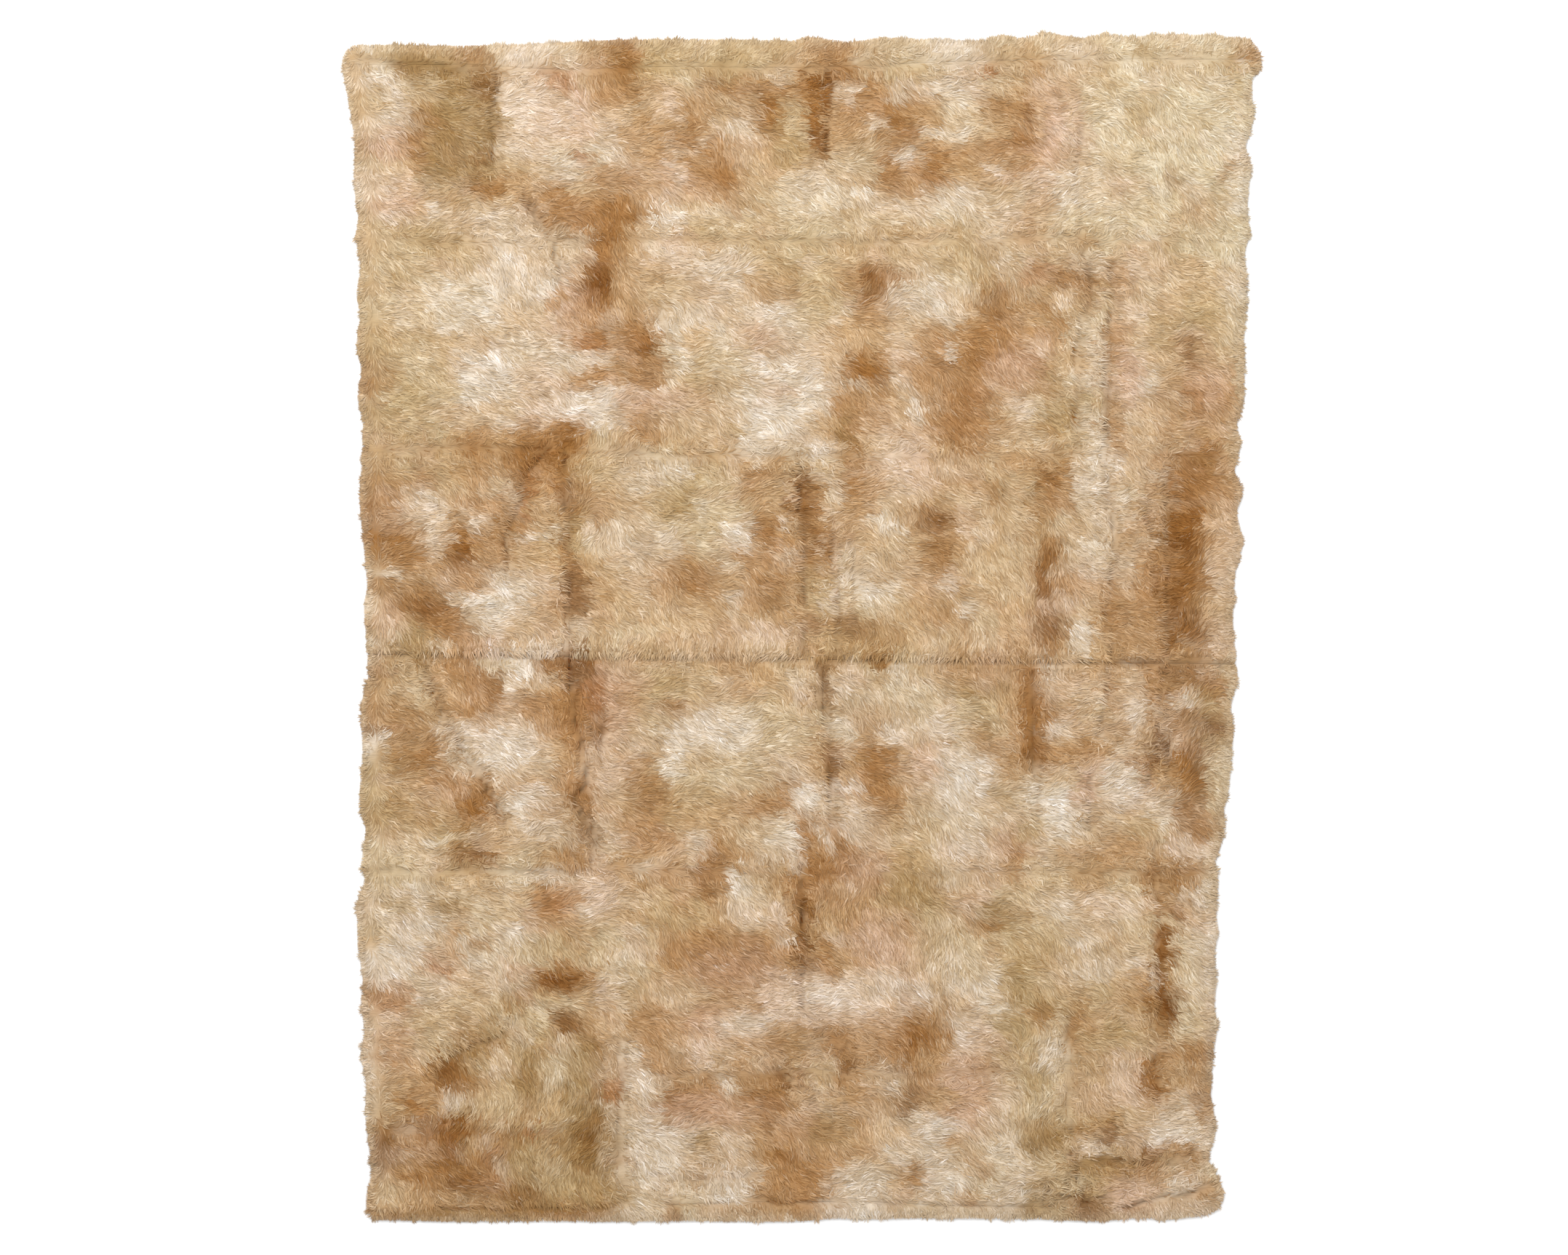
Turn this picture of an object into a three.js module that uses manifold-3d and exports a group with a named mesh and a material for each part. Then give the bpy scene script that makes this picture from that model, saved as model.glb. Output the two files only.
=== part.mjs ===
// A fur throw lying flat, pile up, sewn from eight fur plates in two rows of four and two border strips.
// Each piece is the slab that its pile fills: flat underneath, lumpy on top, with rounded outer rims,
// parted pile at the seams, and locks of hair that stick out past the outer rim.
// Millimetres. X runs to the right, Y to the top edge, Z up. The origin is on the floor, at the middle.
import * as THREE from "three";
import { mergeVertices } from "three/addons/utils/BufferGeometryUtils.js";
import Module from "manifold-3d";

const wasm = await Module();
wasm.setup();

const pile = { height: 20.5, lump: 2.6 };
const rim = { height: 9, roll: 28, tuck: 7, fuzz: 6 };
const seam = { gap: 0.3, depth: 7, width: 10 };
const crease = { depth: 5, width: 14 };
const fold = { depth: 7, width: 14 };
const lock = { pitch: 36, root: 11, out: 8, halfWidth: 6.5, low: 6, high: 11.8, tip: 5, sway: 0.9, clear: 16 };
// Grid lines: their spacing, their distances from an edge, and how far the even ones keep from each level.
const gridPitch = 78;
const inset = [0, seam.width, rim.roll];
const margin = 42;
const level = { left: -730, right: 680, bottom: -930, middle: -54, top: 938 };
const furColours = { plate: 0xd3b48a, border: 0xcbaa7e };

// Outer edges, crest by crest: how far each lies from the middle, against the place along the edge.
const outline = {
  left: {
    along: [
      938, 866, 816, 740, 689, 656, 609, 563, 525, 475, 431, 386, 341, 210, 67, 38, -82, -131,
      -209, -303, -340, -404, -426, -467, -541, -593, -638, -680, -725, -766, -822, -916, -957,
    ],
    reach: [
      774, 760, 753, 755, 747, 753, 742, 751, 744, 751, 741, 749, 739, 745, 732, 738, 730, 743,
      740, 747, 734, 743, 736, 750, 748, 739, 743, 736, 744, 733, 736, 724, 734,
    ],
  },
  right: {
    along: [
      963, 942, 922, 883, 852, 810, 773, 700, 665, 632, 565, 480, 386, 342, 312, 265, 221, 194,
      144, 90, 10, -88, -133, -182, -271, -317, -340, -399, -428, -475, -517, -548, -602, -636,
      -672, -729, -787, -843, -897, -954, -977,
    ],
    reach: [
      774, 777, 759, 761, 762, 749, 758, 751, 758, 747, 751, 746, 747, 733, 742, 730, 745, 733,
      746, 731, 727, 736, 724, 728, 721, 711, 716, 697, 704, 698, 704, 695, 700, 696,
      702, 693, 690, 700, 686, 715, 708,
    ],
  },
  top: {
    along: [
      -766, -736, -640, -540, -394, -296, -100, -14, 4, 84, 131, 193, 298, 336, 375, 410, 472,
      515, 545, 613, 682, 745, 770,
    ],
    reach: [
      980, 982, 980, 980, 986, 991, 991, 988, 996, 986, 994, 992, 988, 999, 992, 1003, 992,
      1003, 994, 1000, 998, 994, 986,
    ],
  },
  bottom: {
    along: [-734, -600, -460, -320, -160, -60, 0, 50, 130, 200, 300, 400, 495, 577, 605, 660, 712],
    reach: [999, 1002, 1001, 1002, 1001, 1002, 1001, 997, 998, 996, 997, 998, 1002, 995, 1000, 995, 982],
  },
};

// Seams between the pieces. The border seams bend at these places; the others run straight.
const borderSeams = {
  top: { along: [-800, -540, -420, -200, 0, 200, 400, 800], at: [947, 947, 939, 944, 941, 950, 956, 956] },
  bottom: {
    along: [-800, -340, -220, -110, 116, 252, 540, 800],
    at: [-977, -977, -972, -967, -967, -973, -977, -905],
  },
};
const midSeam = (x) => -54 - 0.0115 * x;
const plateRows = [
  { name: "upper", seams: [-391, 68, 425], creases: [650, 290] },
  { name: "lower", seams: [-391, 36, 407], creases: [-411, -745] },
];
const plateNames = ["left", "mid_left", "mid_right", "right"];
const rightFolds = [513, 613];

// The edge of a slab: a smooth curve inside an outer edge's crests and hollows, by the reach of its fuzz.
function smoothEdge({ along, reach }, sign) {
  const rows = along.map((a, i) => [a, sign * (reach[i] - rim.fuzz)]).sort((p, q) => p[0] - q[0]);
  const curve = new THREE.CubicInterpolant(rows.map((r) => r[0]), rows.map((r) => r[1]), 1);
  const [low, high] = [rows[0][0], rows[rows.length - 1][0]];
  return (t) => curve.evaluate(THREE.MathUtils.clamp(t, low, high))[0];
}

// A seam of straight stretches.
function bentSeam({ along, at }) {
  const line = new THREE.LinearInterpolant(along, at, 1);
  return (t) => line.evaluate(t)[0];
}

const edge = {
  left: smoothEdge(outline.left, -1),
  right: smoothEdge(outline.right, 1),
  top: smoothEdge(outline.top, 1),
  bottom: smoothEdge(outline.bottom, -1),
};
const topSeam = bentSeam(borderSeams.top);
const bottomSeam = bentSeam(borderSeams.bottom);

// Gentle swell of the pile, so that no two plates lie alike.
function swell(x, y) {
  return (
    Math.sin(x / 47 + 1.3 * Math.sin(y / 90)) * Math.sin(y / 58 + 0.7) +
    0.6 * Math.sin(x / 23 - y / 31) * Math.sin(y / 83 + x / 140)
  );
}

// How much of the pile's height is left at a distance from the outer rim.
function rimShare(distance) {
  const t = THREE.MathUtils.clamp(distance / rim.roll, 0, 1);
  return Math.sqrt(1 - (1 - t) ** 2);
}

// How far the underside draws in below a place near the outer rim.
function tuck(distance) {
  return rim.tuck * THREE.MathUtils.clamp(1 - distance / (2 * rim.tuck), 0, 1);
}

// How far the pile drops at a distance from a line where it parts.
function parting(distance, { depth, width }) {
  return depth * THREE.MathUtils.clamp(1 - distance / width, 0, 1) ** 1.5;
}

// Places from low to high with the fixed ones kept and each wider gap filled evenly.
function stations(low, high, fixed) {
  const inner = fixed.filter((t) => t > low + crease.width && t < high - crease.width);
  const kept = [low, ...inner, high].sort((a, b) => a - b);
  return kept.flatMap((from, i) => {
    const to = kept[i + 1];
    const count = to === undefined ? 1 : Math.max(1, Math.round((to - from) / gridPitch));
    return Array.from({ length: count }, (_, k) => (to === undefined ? from : from + ((to - from) * k) / count));
  });
}

const threeLines = (at) => [at - crease.width, at, at + crease.width];

// A plate's or strip's piece of the pile: columns give x at a height y, rows give y at a place x.
function slab(columns, rows, heightAt, underAt) {
  const across = columns.length;
  const up = rows.length;
  const top = [];
  rows.forEach((row) =>
    columns.forEach((column) => {
      let x = column(0);
      let y = row(x);
      for (let pass = 0; pass < 8; pass++) {
        x = column(y);
        y = row(x);
      }
      top.push([x, y, heightAt(x, y)]);
    }),
  );
  const under = top.map(([x, y]) => underAt(x, y));
  const count = top.length;
  const faces = [];
  for (let j = 0; j < up - 1; j++)
    for (let i = 0; i < across - 1; i++) {
      const a = j * across + i;
      const [b, c, d] = [a + 1, a + across + 1, a + across];
      faces.push([a, b, c], [a, c, d], [count + a, count + c, count + b], [count + a, count + d, count + c]);
    }
  const loop = [];
  for (let i = 0; i < across - 1; i++) loop.push(i);
  for (let j = 0; j < up - 1; j++) loop.push(j * across + across - 1);
  for (let i = across - 1; i > 0; i--) loop.push((up - 1) * across + i);
  for (let j = up - 1; j > 0; j--) loop.push(j * across);
  loop.forEach((k, n) => {
    const next = loop[(n + 1) % loop.length];
    faces.push([k, count + k, count + next], [k, count + next, next]);
  });
  return { points: [...top, ...under], faces };
}

function solid({ points, faces }) {
  const geometry = new THREE.BufferGeometry();
  geometry.setAttribute("position", new THREE.Float32BufferAttribute(points.flat(), 3));
  geometry.setIndex(faces.flat());
  const merged = mergeVertices(geometry, 1e-3);
  const mesh = new wasm.Mesh({
    numProp: 3,
    vertProperties: merged.attributes.position.array,
    triVerts: new Uint32Array(merged.index.array),
  });
  return new wasm.Manifold(mesh);
}

// A repeatable draw between 0 and 1.
function draw(n) {
  const s = Math.sin(n * 127.1 + 311.7) * 43758.5453;
  return s - Math.floor(s);
}

// One three-sided lock of hair, rooted inside the rim and drooping past it.
function rimLock(x, y, angle, n) {
  const lean = angle + lock.sway * (draw(n) - 0.5);
  const reach = lock.out * (0.65 + 0.6 * draw(n + 0.3));
  const halfWidth = lock.halfWidth * (0.8 + 0.4 * draw(n + 0.6));
  const place = (forward, side, height) => [
    x + Math.cos(lean) * forward - Math.sin(lean) * side,
    y + Math.sin(lean) * forward + Math.cos(lean) * side,
    height,
  ];
  const points = [
    place(-lock.root, -halfWidth, lock.low),
    place(-lock.root, halfWidth, lock.low),
    place(-lock.root, 0, lock.high),
    place(reach, 0, lock.tip),
  ];
  const faces = [
    [0, 2, 1],
    [0, 1, 3],
    [1, 2, 3],
    [2, 0, 3],
  ];
  return solid({ points, faces });
}

// Locks along one outer edge, given as a walk from 0 to 1 and the way out.
function locksAlong(pointAt, length, start) {
  const count = Math.max(1, Math.floor((length - 2 * lock.clear) / lock.pitch));
  return Array.from({ length: count }, (_, i) => {
    const n = start + i;
    const t = (lock.clear + ((i + 0.5 + 0.4 * (draw(n + 0.9) - 0.5)) * (length - 2 * lock.clear)) / count) / length;
    const [x, y] = pointAt(t);
    const [bx, by] = pointAt(t - 2 / length);
    const [ax, ay] = pointAt(t + 2 / length);
    return rimLock(x, y, Math.atan2(-(ax - bx), ay - by), n);
  });
}

function finish(name, body, locks, colour) {
  const joined = wasm.Manifold.union([body, ...locks]).getMesh();
  const geometry = new THREE.BufferGeometry();
  geometry.setAttribute("position", new THREE.BufferAttribute(joined.vertProperties, 3));
  geometry.setIndex(new THREE.BufferAttribute(joined.triVerts, 1));
  geometry.computeVertexNormals();
  const mesh = new THREE.Mesh(geometry, new THREE.MeshStandardMaterial({ color: colour, roughness: 0.95, metalness: 0 }));
  mesh.name = name;
  return mesh;
}

// One plate, between two horizontal seams, with an outer rim on the side that ends the throw.
function plate(row, index) {
  const lowest = row.name === "lower";
  const [below, above] = lowest ? [bottomSeam, midSeam] : [midSeam, topSeam];
  const floorLine = (x) => below(x) + seam.gap / 2;
  const roofLine = (x) => above(x) - seam.gap / 2;
  const walls = [null, ...row.seams, null];
  const [from, to] = [walls[index], walls[index + 1]];
  const leftWall = from === null ? edge.left : () => from + seam.gap / 2;
  const rightWall = to === null ? edge.right : () => to - seam.gap / 2;
  const folds = index === 3 ? rightFolds : [];
  const bends = (lowest ? borderSeams.bottom : borderSeams.top).along;
  const lowX = from === null ? level.left + margin : from + rim.roll;
  const highX = to === null ? level.right - margin : to - rim.roll;
  const columns = [
    ...inset.slice(0, from === null ? 3 : 2).map((d) => (y) => leftWall(y) + d),
    ...stations(lowX, highX, [...folds.flatMap(threeLines), ...bends]).map((x) => () => x),
    ...inset.slice(0, to === null ? 3 : 2).reverse().map((d) => (y) => rightWall(y) - d),
  ];
  const lowY = (lowest ? level.bottom : level.middle) + margin;
  const highY = (lowest ? level.middle : level.top) - margin;
  const rows = [
    ...inset.map((d) => (x) => floorLine(x) + d),
    ...stations(lowY, highY, row.creases.flatMap(threeLines)).map((y) => () => y),
    ...[...inset].reverse().map((d) => (x) => roofLine(x) - d),
  ];
  const heightAt = (x, y) => {
    let z = pile.height + pile.lump * swell(x, y);
    z -= parting(Math.min(y - floorLine(x), roofLine(x) - y), seam);
    if (from !== null) z -= parting(x - leftWall(y), seam);
    if (to !== null) z -= parting(rightWall(y) - x, seam);
    row.creases.forEach((at) => (z -= parting(Math.abs(y - at), crease)));
    folds.forEach((at) => (z -= parting(Math.abs(x - at), fold)));
    const outside = Math.min(
      from === null ? x - leftWall(y) : rim.roll,
      to === null ? rightWall(y) - x : rim.roll,
    );
    return rim.height + (z - rim.height) * rimShare(outside);
  };
  const underAt = (x, y) => {
    const left = from === null ? tuck(x - leftWall(y)) : 0;
    const right = to === null ? tuck(rightWall(y) - x) : 0;
    return [x + left - right, y, 0];
  };
  const sideLocks = (wall, yFrom, yTo) => {
    const walk = (t) => {
      const y = THREE.MathUtils.lerp(yFrom, yTo, t);
      return [wall(y), y];
    };
    return locksAlong(walk, Math.abs(yTo - yFrom), 100 * (index + 1) + (lowest ? 50 : 0));
  };
  const locks = [
    ...(from === null ? sideLocks(leftWall, roofLine(-740), floorLine(-740)) : []),
    ...(to === null ? sideLocks(rightWall, floorLine(720), roofLine(720)) : []),
  ];
  const body = solid(slab(columns, rows, heightAt, underAt));
  return finish("plate_" + row.name + "_" + plateNames[index], body, locks, furColours.plate);
}

// A border strip along the top or bottom edge, with rounded corners.
function border(name, seamLine, outer, bends, sign, corner) {
  const inner = (x) => seamLine(x) + (sign * seam.gap) / 2;
  const cornerDrop = (x, y) => {
    const toSide = Math.min(x - edge.left(y), edge.right(y) - x);
    const t = 1 - THREE.MathUtils.clamp(toSide / corner, 0, 1);
    return corner * (1 - Math.sqrt(1 - t * t));
  };
  const ends = [0, 4, 10, 18, 32];
  const narrowing = 0.4;
  const columns = [
    ...ends.map((d) => (y) => edge.left(y) + d),
    ...stations(level.left + margin, level.right - margin, bends).map((x) => () => x),
    ...[...ends].reverse().map((d) => (y) => edge.right(y) - d),
  ];
  const outerAt = (x) => {
    let y = outer(x);
    for (let pass = 0; pass < 4; pass++) y = outer(x) - sign * cornerDrop(x, y);
    return y;
  };
  const shares = sign > 0 ? [0, 0.3, 0.66, 1] : [1, 0.66, 0.3, 0];
  const rows = shares.map((share) => (x) => THREE.MathUtils.lerp(inner(x), outerAt(x), share));
  const heightAt = (x, y) => {
    const width = Math.abs(outerAt(x) - inner(x));
    const outside = Math.min(Math.abs(outerAt(x) - y), x - edge.left(y), edge.right(y) - x);
    const roll = Math.min(rim.roll, width * 0.7);
    const share = rimShare((outside * rim.roll) / roll);
    let z = pile.height - 1 + pile.lump * 0.7 * swell(x, y);
    z -= parting(Math.abs(y - inner(x)), seam);
    return rim.height + (z - rim.height) * share;
  };
  const underAt = (x, y) => {
    const share = (y - inner(x)) / (outerAt(x) - inner(x));
    const out = narrowing * share * tuck(Math.abs(outerAt(x) - y));
    return [x + tuck(x - edge.left(y)) - tuck(edge.right(y) - x), y - sign * out, 0];
  };
  const [from, to] = sign > 0 ? [665, -715] : [-715, 665];
  const walk = (t) => {
    const x = from + t * (to - from);
    return [x, outer(x)];
  };
  const locks = locksAlong(walk, Math.abs(to - from), sign > 0 ? 1000 : 2000);
  return finish(name, solid(slab(columns, rows, heightAt, underAt)), locks, furColours.border);
}

const fur_throw = new THREE.Group();
fur_throw.name = "fur_throw";
plateRows.forEach((row) => plateNames.forEach((_, index) => fur_throw.add(plate(row, index))));
fur_throw.add(border("border_top", topSeam, edge.top, borderSeams.top.along, 1, 18));
fur_throw.add(border("border_bottom", bottomSeam, edge.bottom, borderSeams.bottom.along, -1, 9));

export default fur_throw;
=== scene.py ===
# Faux fur throw, laid flat on the floor with its pile up.
# Sizes here are in millimetres unless a line says otherwise, and become metres when a mesh is made.
import math
import bpy
import numpy as np
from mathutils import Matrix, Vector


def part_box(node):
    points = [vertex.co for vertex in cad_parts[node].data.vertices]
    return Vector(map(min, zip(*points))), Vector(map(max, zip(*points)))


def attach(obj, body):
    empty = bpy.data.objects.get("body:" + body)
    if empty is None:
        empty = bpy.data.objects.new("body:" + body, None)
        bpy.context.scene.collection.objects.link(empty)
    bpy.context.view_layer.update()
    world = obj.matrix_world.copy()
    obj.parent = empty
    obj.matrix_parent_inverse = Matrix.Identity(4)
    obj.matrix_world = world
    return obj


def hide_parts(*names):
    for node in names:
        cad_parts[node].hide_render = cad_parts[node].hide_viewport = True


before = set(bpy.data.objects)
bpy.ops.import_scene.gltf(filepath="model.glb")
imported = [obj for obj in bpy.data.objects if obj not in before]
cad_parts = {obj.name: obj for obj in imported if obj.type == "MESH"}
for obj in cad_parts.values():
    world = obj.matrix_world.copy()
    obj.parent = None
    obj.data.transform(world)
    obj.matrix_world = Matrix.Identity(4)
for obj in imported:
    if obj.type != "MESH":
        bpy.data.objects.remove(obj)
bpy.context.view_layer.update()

scene = bpy.context.scene
rng = np.random.default_rng(41)
far = 1e9  # farther than anything here
tiny = 1e-6  # keeps a division from failing


# Camera: straight down over the throw, top edge of the throw up
camera = {"x": -29.4, "y": -0.6, "height": 6000.0, "overFloor": 18.0, "viewWidth": 2637.5, "sensor": 36.0}

camData = bpy.data.cameras.new("camera")
camData.sensor_width = camera["sensor"]
camData.lens = camera["sensor"] * camera["height"] / camera["viewWidth"]
camData.clip_end = 60
camObj = bpy.data.objects.new("camera", camData)
camObj.location = (camera["x"] / 1000, camera["y"] / 1000, (camera["height"] + camera["overFloor"]) / 1000)
scene.collection.objects.link(camObj)
scene.camera = camObj
scene.view_settings.view_transform = "Standard"
print("camera set")


# Outline, read at its lobes and dips: sides as (along y, reach in x), ends as (along x, reach in y)
outline = {
    "left": (
        [938, 866, 816, 740, 689, 656, 609, 563, 525, 475, 431, 386, 341, 210, 67, 38, -82, -131, -209, -303,
         -340, -404, -426, -467, -541, -593, -638, -680, -725, -766, -822, -916, -957],
        [774, 760, 753, 755, 747, 753, 742, 751, 744, 751, 741, 749, 739, 745, 732, 738, 730, 743, 740, 747,
         734, 743, 736, 750, 748, 739, 743, 736, 744, 733, 736, 724, 734],
    ),
    "right": (
        [963, 942, 922, 883, 852, 810, 773, 700, 665, 632, 565, 480, 386, 342, 312, 265, 221, 194, 144, 90,
         10, -88, -133, -182, -271, -317, -340, -399, -428, -475, -517, -548, -602, -636, -672, -729, -787,
         -843, -897, -954, -977],
        [774, 777, 759, 761, 762, 749, 758, 751, 758, 747, 751, 746, 747, 733, 742, 730, 745, 733, 746, 731,
         727, 736, 724, 728, 721, 711, 716, 697, 704, 698, 704, 695, 700, 696, 702, 693, 690, 700, 686, 715,
         708],
    ),
    "top": (
        [-766, -736, -640, -540, -394, -296, -100, -14, 4, 84, 131, 193, 298, 336, 375, 410, 472, 515, 545,
         613, 682, 745, 770],
        [980, 982, 980, 980, 986, 991, 991, 988, 996, 986, 994, 992, 988, 999, 992, 1003, 992, 1003, 994,
         1000, 998, 994, 986],
    ),
    "bottom": (
        [-734, -600, -460, -320, -160, -60, 0, 50, 130, 200, 300, 400, 495, 577, 605, 660, 712],
        [999, 1002, 1001, 1002, 1001, 1002, 1001, 997, 998, 996, 997, 998, 1002, 995, 1000, 995, 982],
    ),
}
fuzz = 6.0  # the pile's own edge is this far inside the outline, and loose hair fills the rest
borderSeams = {
    "top": ([-800, -540, -420, -200, 0, 200, 400, 800], [947, 947, 939, 944, 941, 950, 956, 956]),
    "bottom": (
        [-800, -340, -220, -110, 116, 252, 540, 800],
        [-977, -977, -972, -967, -967, -973, -977, -905],
    ),
}
plateSeams = {"upper": [-391.0, 68.0, 425.0], "lower": [-391.0, 36.0, 407.0]}
middleLine = {"y": -54.0, "slope": -0.0115}
cornerRadius = {"top": 18.0, "bottom": 9.0}


def along(pair, at):
    order = np.argsort(pair[0])
    return np.interp(at, np.array(pair[0], float)[order], np.array(pair[1], float)[order])


def leftEdge(y):
    return -along(outline["left"], y) + fuzz


def rightEdge(y):
    return along(outline["right"], y) - fuzz


def topEdge(x):
    return along(outline["top"], x) - fuzz


def bottomEdge(x):
    return -along(outline["bottom"], x) + fuzz


def middleSeam(x):
    return middleLine["y"] + middleLine["slope"] * x


def edgeDistance(x, y):
    side = np.minimum(x - leftEdge(y), rightEdge(y) - x)
    end = np.minimum(topEdge(x) - y, y - bottomEdge(x))
    radius = np.where(y > 0, cornerRadius["top"], cornerRadius["bottom"])
    corner = radius - np.hypot(np.maximum(radius - side, 0), np.maximum(radius - end, 0))
    return np.where((side < radius) & (end < radius), corner, np.minimum(side, end))


# How steeply a surface falls away, in x and in y
def fall(surface, x, y, step):
    fallX = (surface(x - step, y) - surface(x + step, y)) / (2 * step)
    fallY = (surface(x, y - step) - surface(x, y + step)) / (2 * step)
    return fallX, fallY


# A draw between 0 and 1 for each cell of a grid, the same in every run
def hashed(ix, iy, seed):
    n = (ix * 374761393 + iy * 668265263 + seed * 362437) & 0xFFFFFFFF
    n = ((n ^ (n >> 13)) * 1274126177) & 0xFFFFFFFF
    return ((n ^ (n >> 16)) & 0xFFFF) / 65535.0


# Smooth noise between -1 and 1, with cells one unit wide
def noise(x, y, seed):
    ix, iy = np.floor(x).astype(np.int64), np.floor(y).astype(np.int64)
    fx, fy = x - ix, y - iy
    ux, uy = fx * fx * (3 - 2 * fx), fy * fy * (3 - 2 * fy)
    a, b = hashed(ix, iy, seed), hashed(ix + 1, iy, seed)
    c, d = hashed(ix, iy + 1, seed), hashed(ix + 1, iy + 1, seed)
    return 2 * (a + (b - a) * ux + (c - a) * uy + (a - b - c + d) * ux * uy) - 1


# Adds layers of noise to a value. A layer is its size, then its grain in x and y, then its seed
def layered(value, x, y, layers):
    for size, across, up, seed in layers:
        value = value + size * noise(x / across, y / up, seed)
    return value


# Lines where the pile parts: depth, half width, painted shade in percent, then the points it runs through
partings = [
    (8.5, 6, 20, [(-745, -45.5), (-400, -49.4), (0, -54), (400, -58.6), (722, -62.3)]),
    (4.5, 7, 32, [(-735, 958), (-694, 951), (-667, 947), (-631, 949), (-600, 945), (-577, 938), (-537, 941)]),
    (3.0, 8, 8, [(-537, 941), (-420, 939), (-200, 944), (0, 941), (200, 950), (400, 956), (740, 956)]),
    (4.0, 7, 38, [(-475, 735), (-451, 686), (-420, 654), (-406, 605), (-414, 575)]),
    (4.0, 7, 40, [(-518, 930), (-516, 880), (-520, 830), (-518, 780)]),
    (2.5, 7, 0, [(-237, 700), (-238, 600), (-236, 500)]),
    (3.5, 8, 25, [(90, 652), (120, 648), (160, 650)]),
    (2.0, 9, 8, [(-740, 655), (-500, 646), (-250, 655), (90, 650)]),
    (2.0, 9, 10, [(160, 650), (400, 654), (740, 650)]),
    (4.5, 6, 40, [(43, 960), (45, 900), (42, 840), (42, 800)]),
    (3.5, 7, 22, [(460, 900), (470, 850), (460, 780), (462, 720), (475, 640)]),
    (5.5, 8, 50, [(475, 640), (485, 560), (470, 525), (459, 455), (463, 405), (459, 300)]),
    (4.0, 7, 45, [(522, 615), (521, 550), (515, 500)]),
    (5.5, 8, 50, [(-425, 300), (-470, 260), (-470, 215), (-490, 180), (-497, 150), (-500, 100)]),
    (3.0, 9, 20, [(-740, 298), (-600, 304), (-460, 300), (-300, 292), (-100, 290)]),
    (2.0, 9, 10, [(-100, 290), (150, 288), (400, 292), (740, 290)]),
    (5.5, 7, 50, [(-397, 300), (-396, 250), (-397, 190), (-395, 130), (-394, 60), (-395, 0), (-394, -40)]),
    (5.5, 7, 50, [(-3, 270), (-6, 220), (-3, 170), (2, 100), (0, 0), (4, -45)]),
    (4.5, 6, 30, [(53, 150), (55, 100), (54, 40), (56, 0), (58, -45)]),
    (3.0, 6, 15, [(84, 150), (88, 90), (84, 20)]),
    (7.0, 9, 42, [(513, 500), (512, 420), (514, 330), (510, 270)]),
    (5.0, 7, 30, [(505, 270), (515, 215), (528, 150), (520, 60), (510, 20), (515, -20), (520, -50)]),
    (4.5, 6, 30, [(575, 215), (583, 170), (595, 140), (590, 90), (600, 50)]),
    (6.0, 7, 45, [(613, 270), (612, 200), (614, 100), (612, 0), (613, -50)]),
    (5.5, 8, 50, [(-635, -60), (-620, -110), (-605, -150), (-590, -180), (-550, -240), (-520, -290),
                  (-505, -330)]),
    (5.5, 8, 52, [(-397, -50), (-385, -130), (-370, -210), (-360, -260), (-385, -290), (-345, -360),
                  (-350, -395)]),
    (4.0, 6, 38, [(-340, -150), (-335, -200)]),
    (3.5, 7, 28, [(-745, -408), (-620, -412), (-500, -410), (-380, -406)]),
    (2.0, 9, 10, [(-380, -406), (0, -412), (400, -410), (690, -412)]),
    (5.5, 8, 52, [(30, -60), (32, -100), (38, -150), (42, -210), (45, -250), (48, -330)]),
    (5.5, 7, 45, [(0, -400), (-3, -460), (2, -520), (-2, -600), (0, -640)]),
    (4.5, 7, 30, [(515, -66), (515, -110), (500, -150), (505, -180)]),
    (5.0, 6, 45, [(603, -64), (600, -160), (590, -230), (580, -262)]),
    (4.0, 7, 30, [(613, -64), (613, -150), (612, -250)]),
    (4.5, 6, 32, [(490, -240), (483, -330)]),
    (4.0, 6, 45, [(388, -70), (386, -150), (392, -240), (396, -330)]),
    (4.0, 6, 40, [(-735, -985), (-690, -985), (-640, -976), (-600, -978), (-500, -980), (-450, -975),
                  (-330, -978),
                  (-300, -965)]),
    (5.5, 8, 48, [(-615, -740), (-595, -720), (-560, -705), (-500, -680), (-470, -655)]),
    (5.0, 7, 10, [(-306, -690), (-304, -780), (-307, -870), (-304, -965)]),
    (3.0, 8, 20, [(-700, -846), (-560, -842), (-420, -846)]),
    (4.0, 5, 40, [(25, -675), (75, -710)]),
    (4.0, 5, 40, [(-40, -745), (5, -780), (20, -800)]),
    (3.5, 8, 22, [(-250, -748), (-140, -752), (-40, -750)]),
    (2.0, 9, 8, [(-40, -750), (300, -746), (690, -750)]),
    (4.0, 7, 25, [(-250, -918), (-160, -926), (-90, -920)]),
    (4.0, 7, 30, [(-230, -970), (-100, -966), (50, -968)]),
    (3.5, 7, 22, [(110, -968), (200, -972), (290, -974), (420, -976)]),
    (4.0, 9, 20, [(450, -650), (448, -750), (452, -850)]),
    (5.5, 7, 42, [(597, -500), (600, -600), (594, -700), (598, -800)]),
    (5.0, 6, 42, [(440, -960), (462, -903), (508, -894), (561, -898), (610, -905), (661, -882)]),
    (5.0, 6, 35, [(419, -934), (408, -960), (399, -985)]),
    (5.0, 6, 38, [(430, -958), (455, -957), (479, -967), (508, -956)]),
    (5.0, 6, 50, [(452, -880), (462, -925), (475, -970)]),
    (5.5, 7, 48, [(544, -980), (600, -960), (650, -955), (690, -935)]),
    (3.0, 7, 20, [(-712, -82), (-690, -84), (-680, -70)]),
    (4.0, 6, 40, [(597, -365), (596, -420), (600, -500)]),
]


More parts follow.
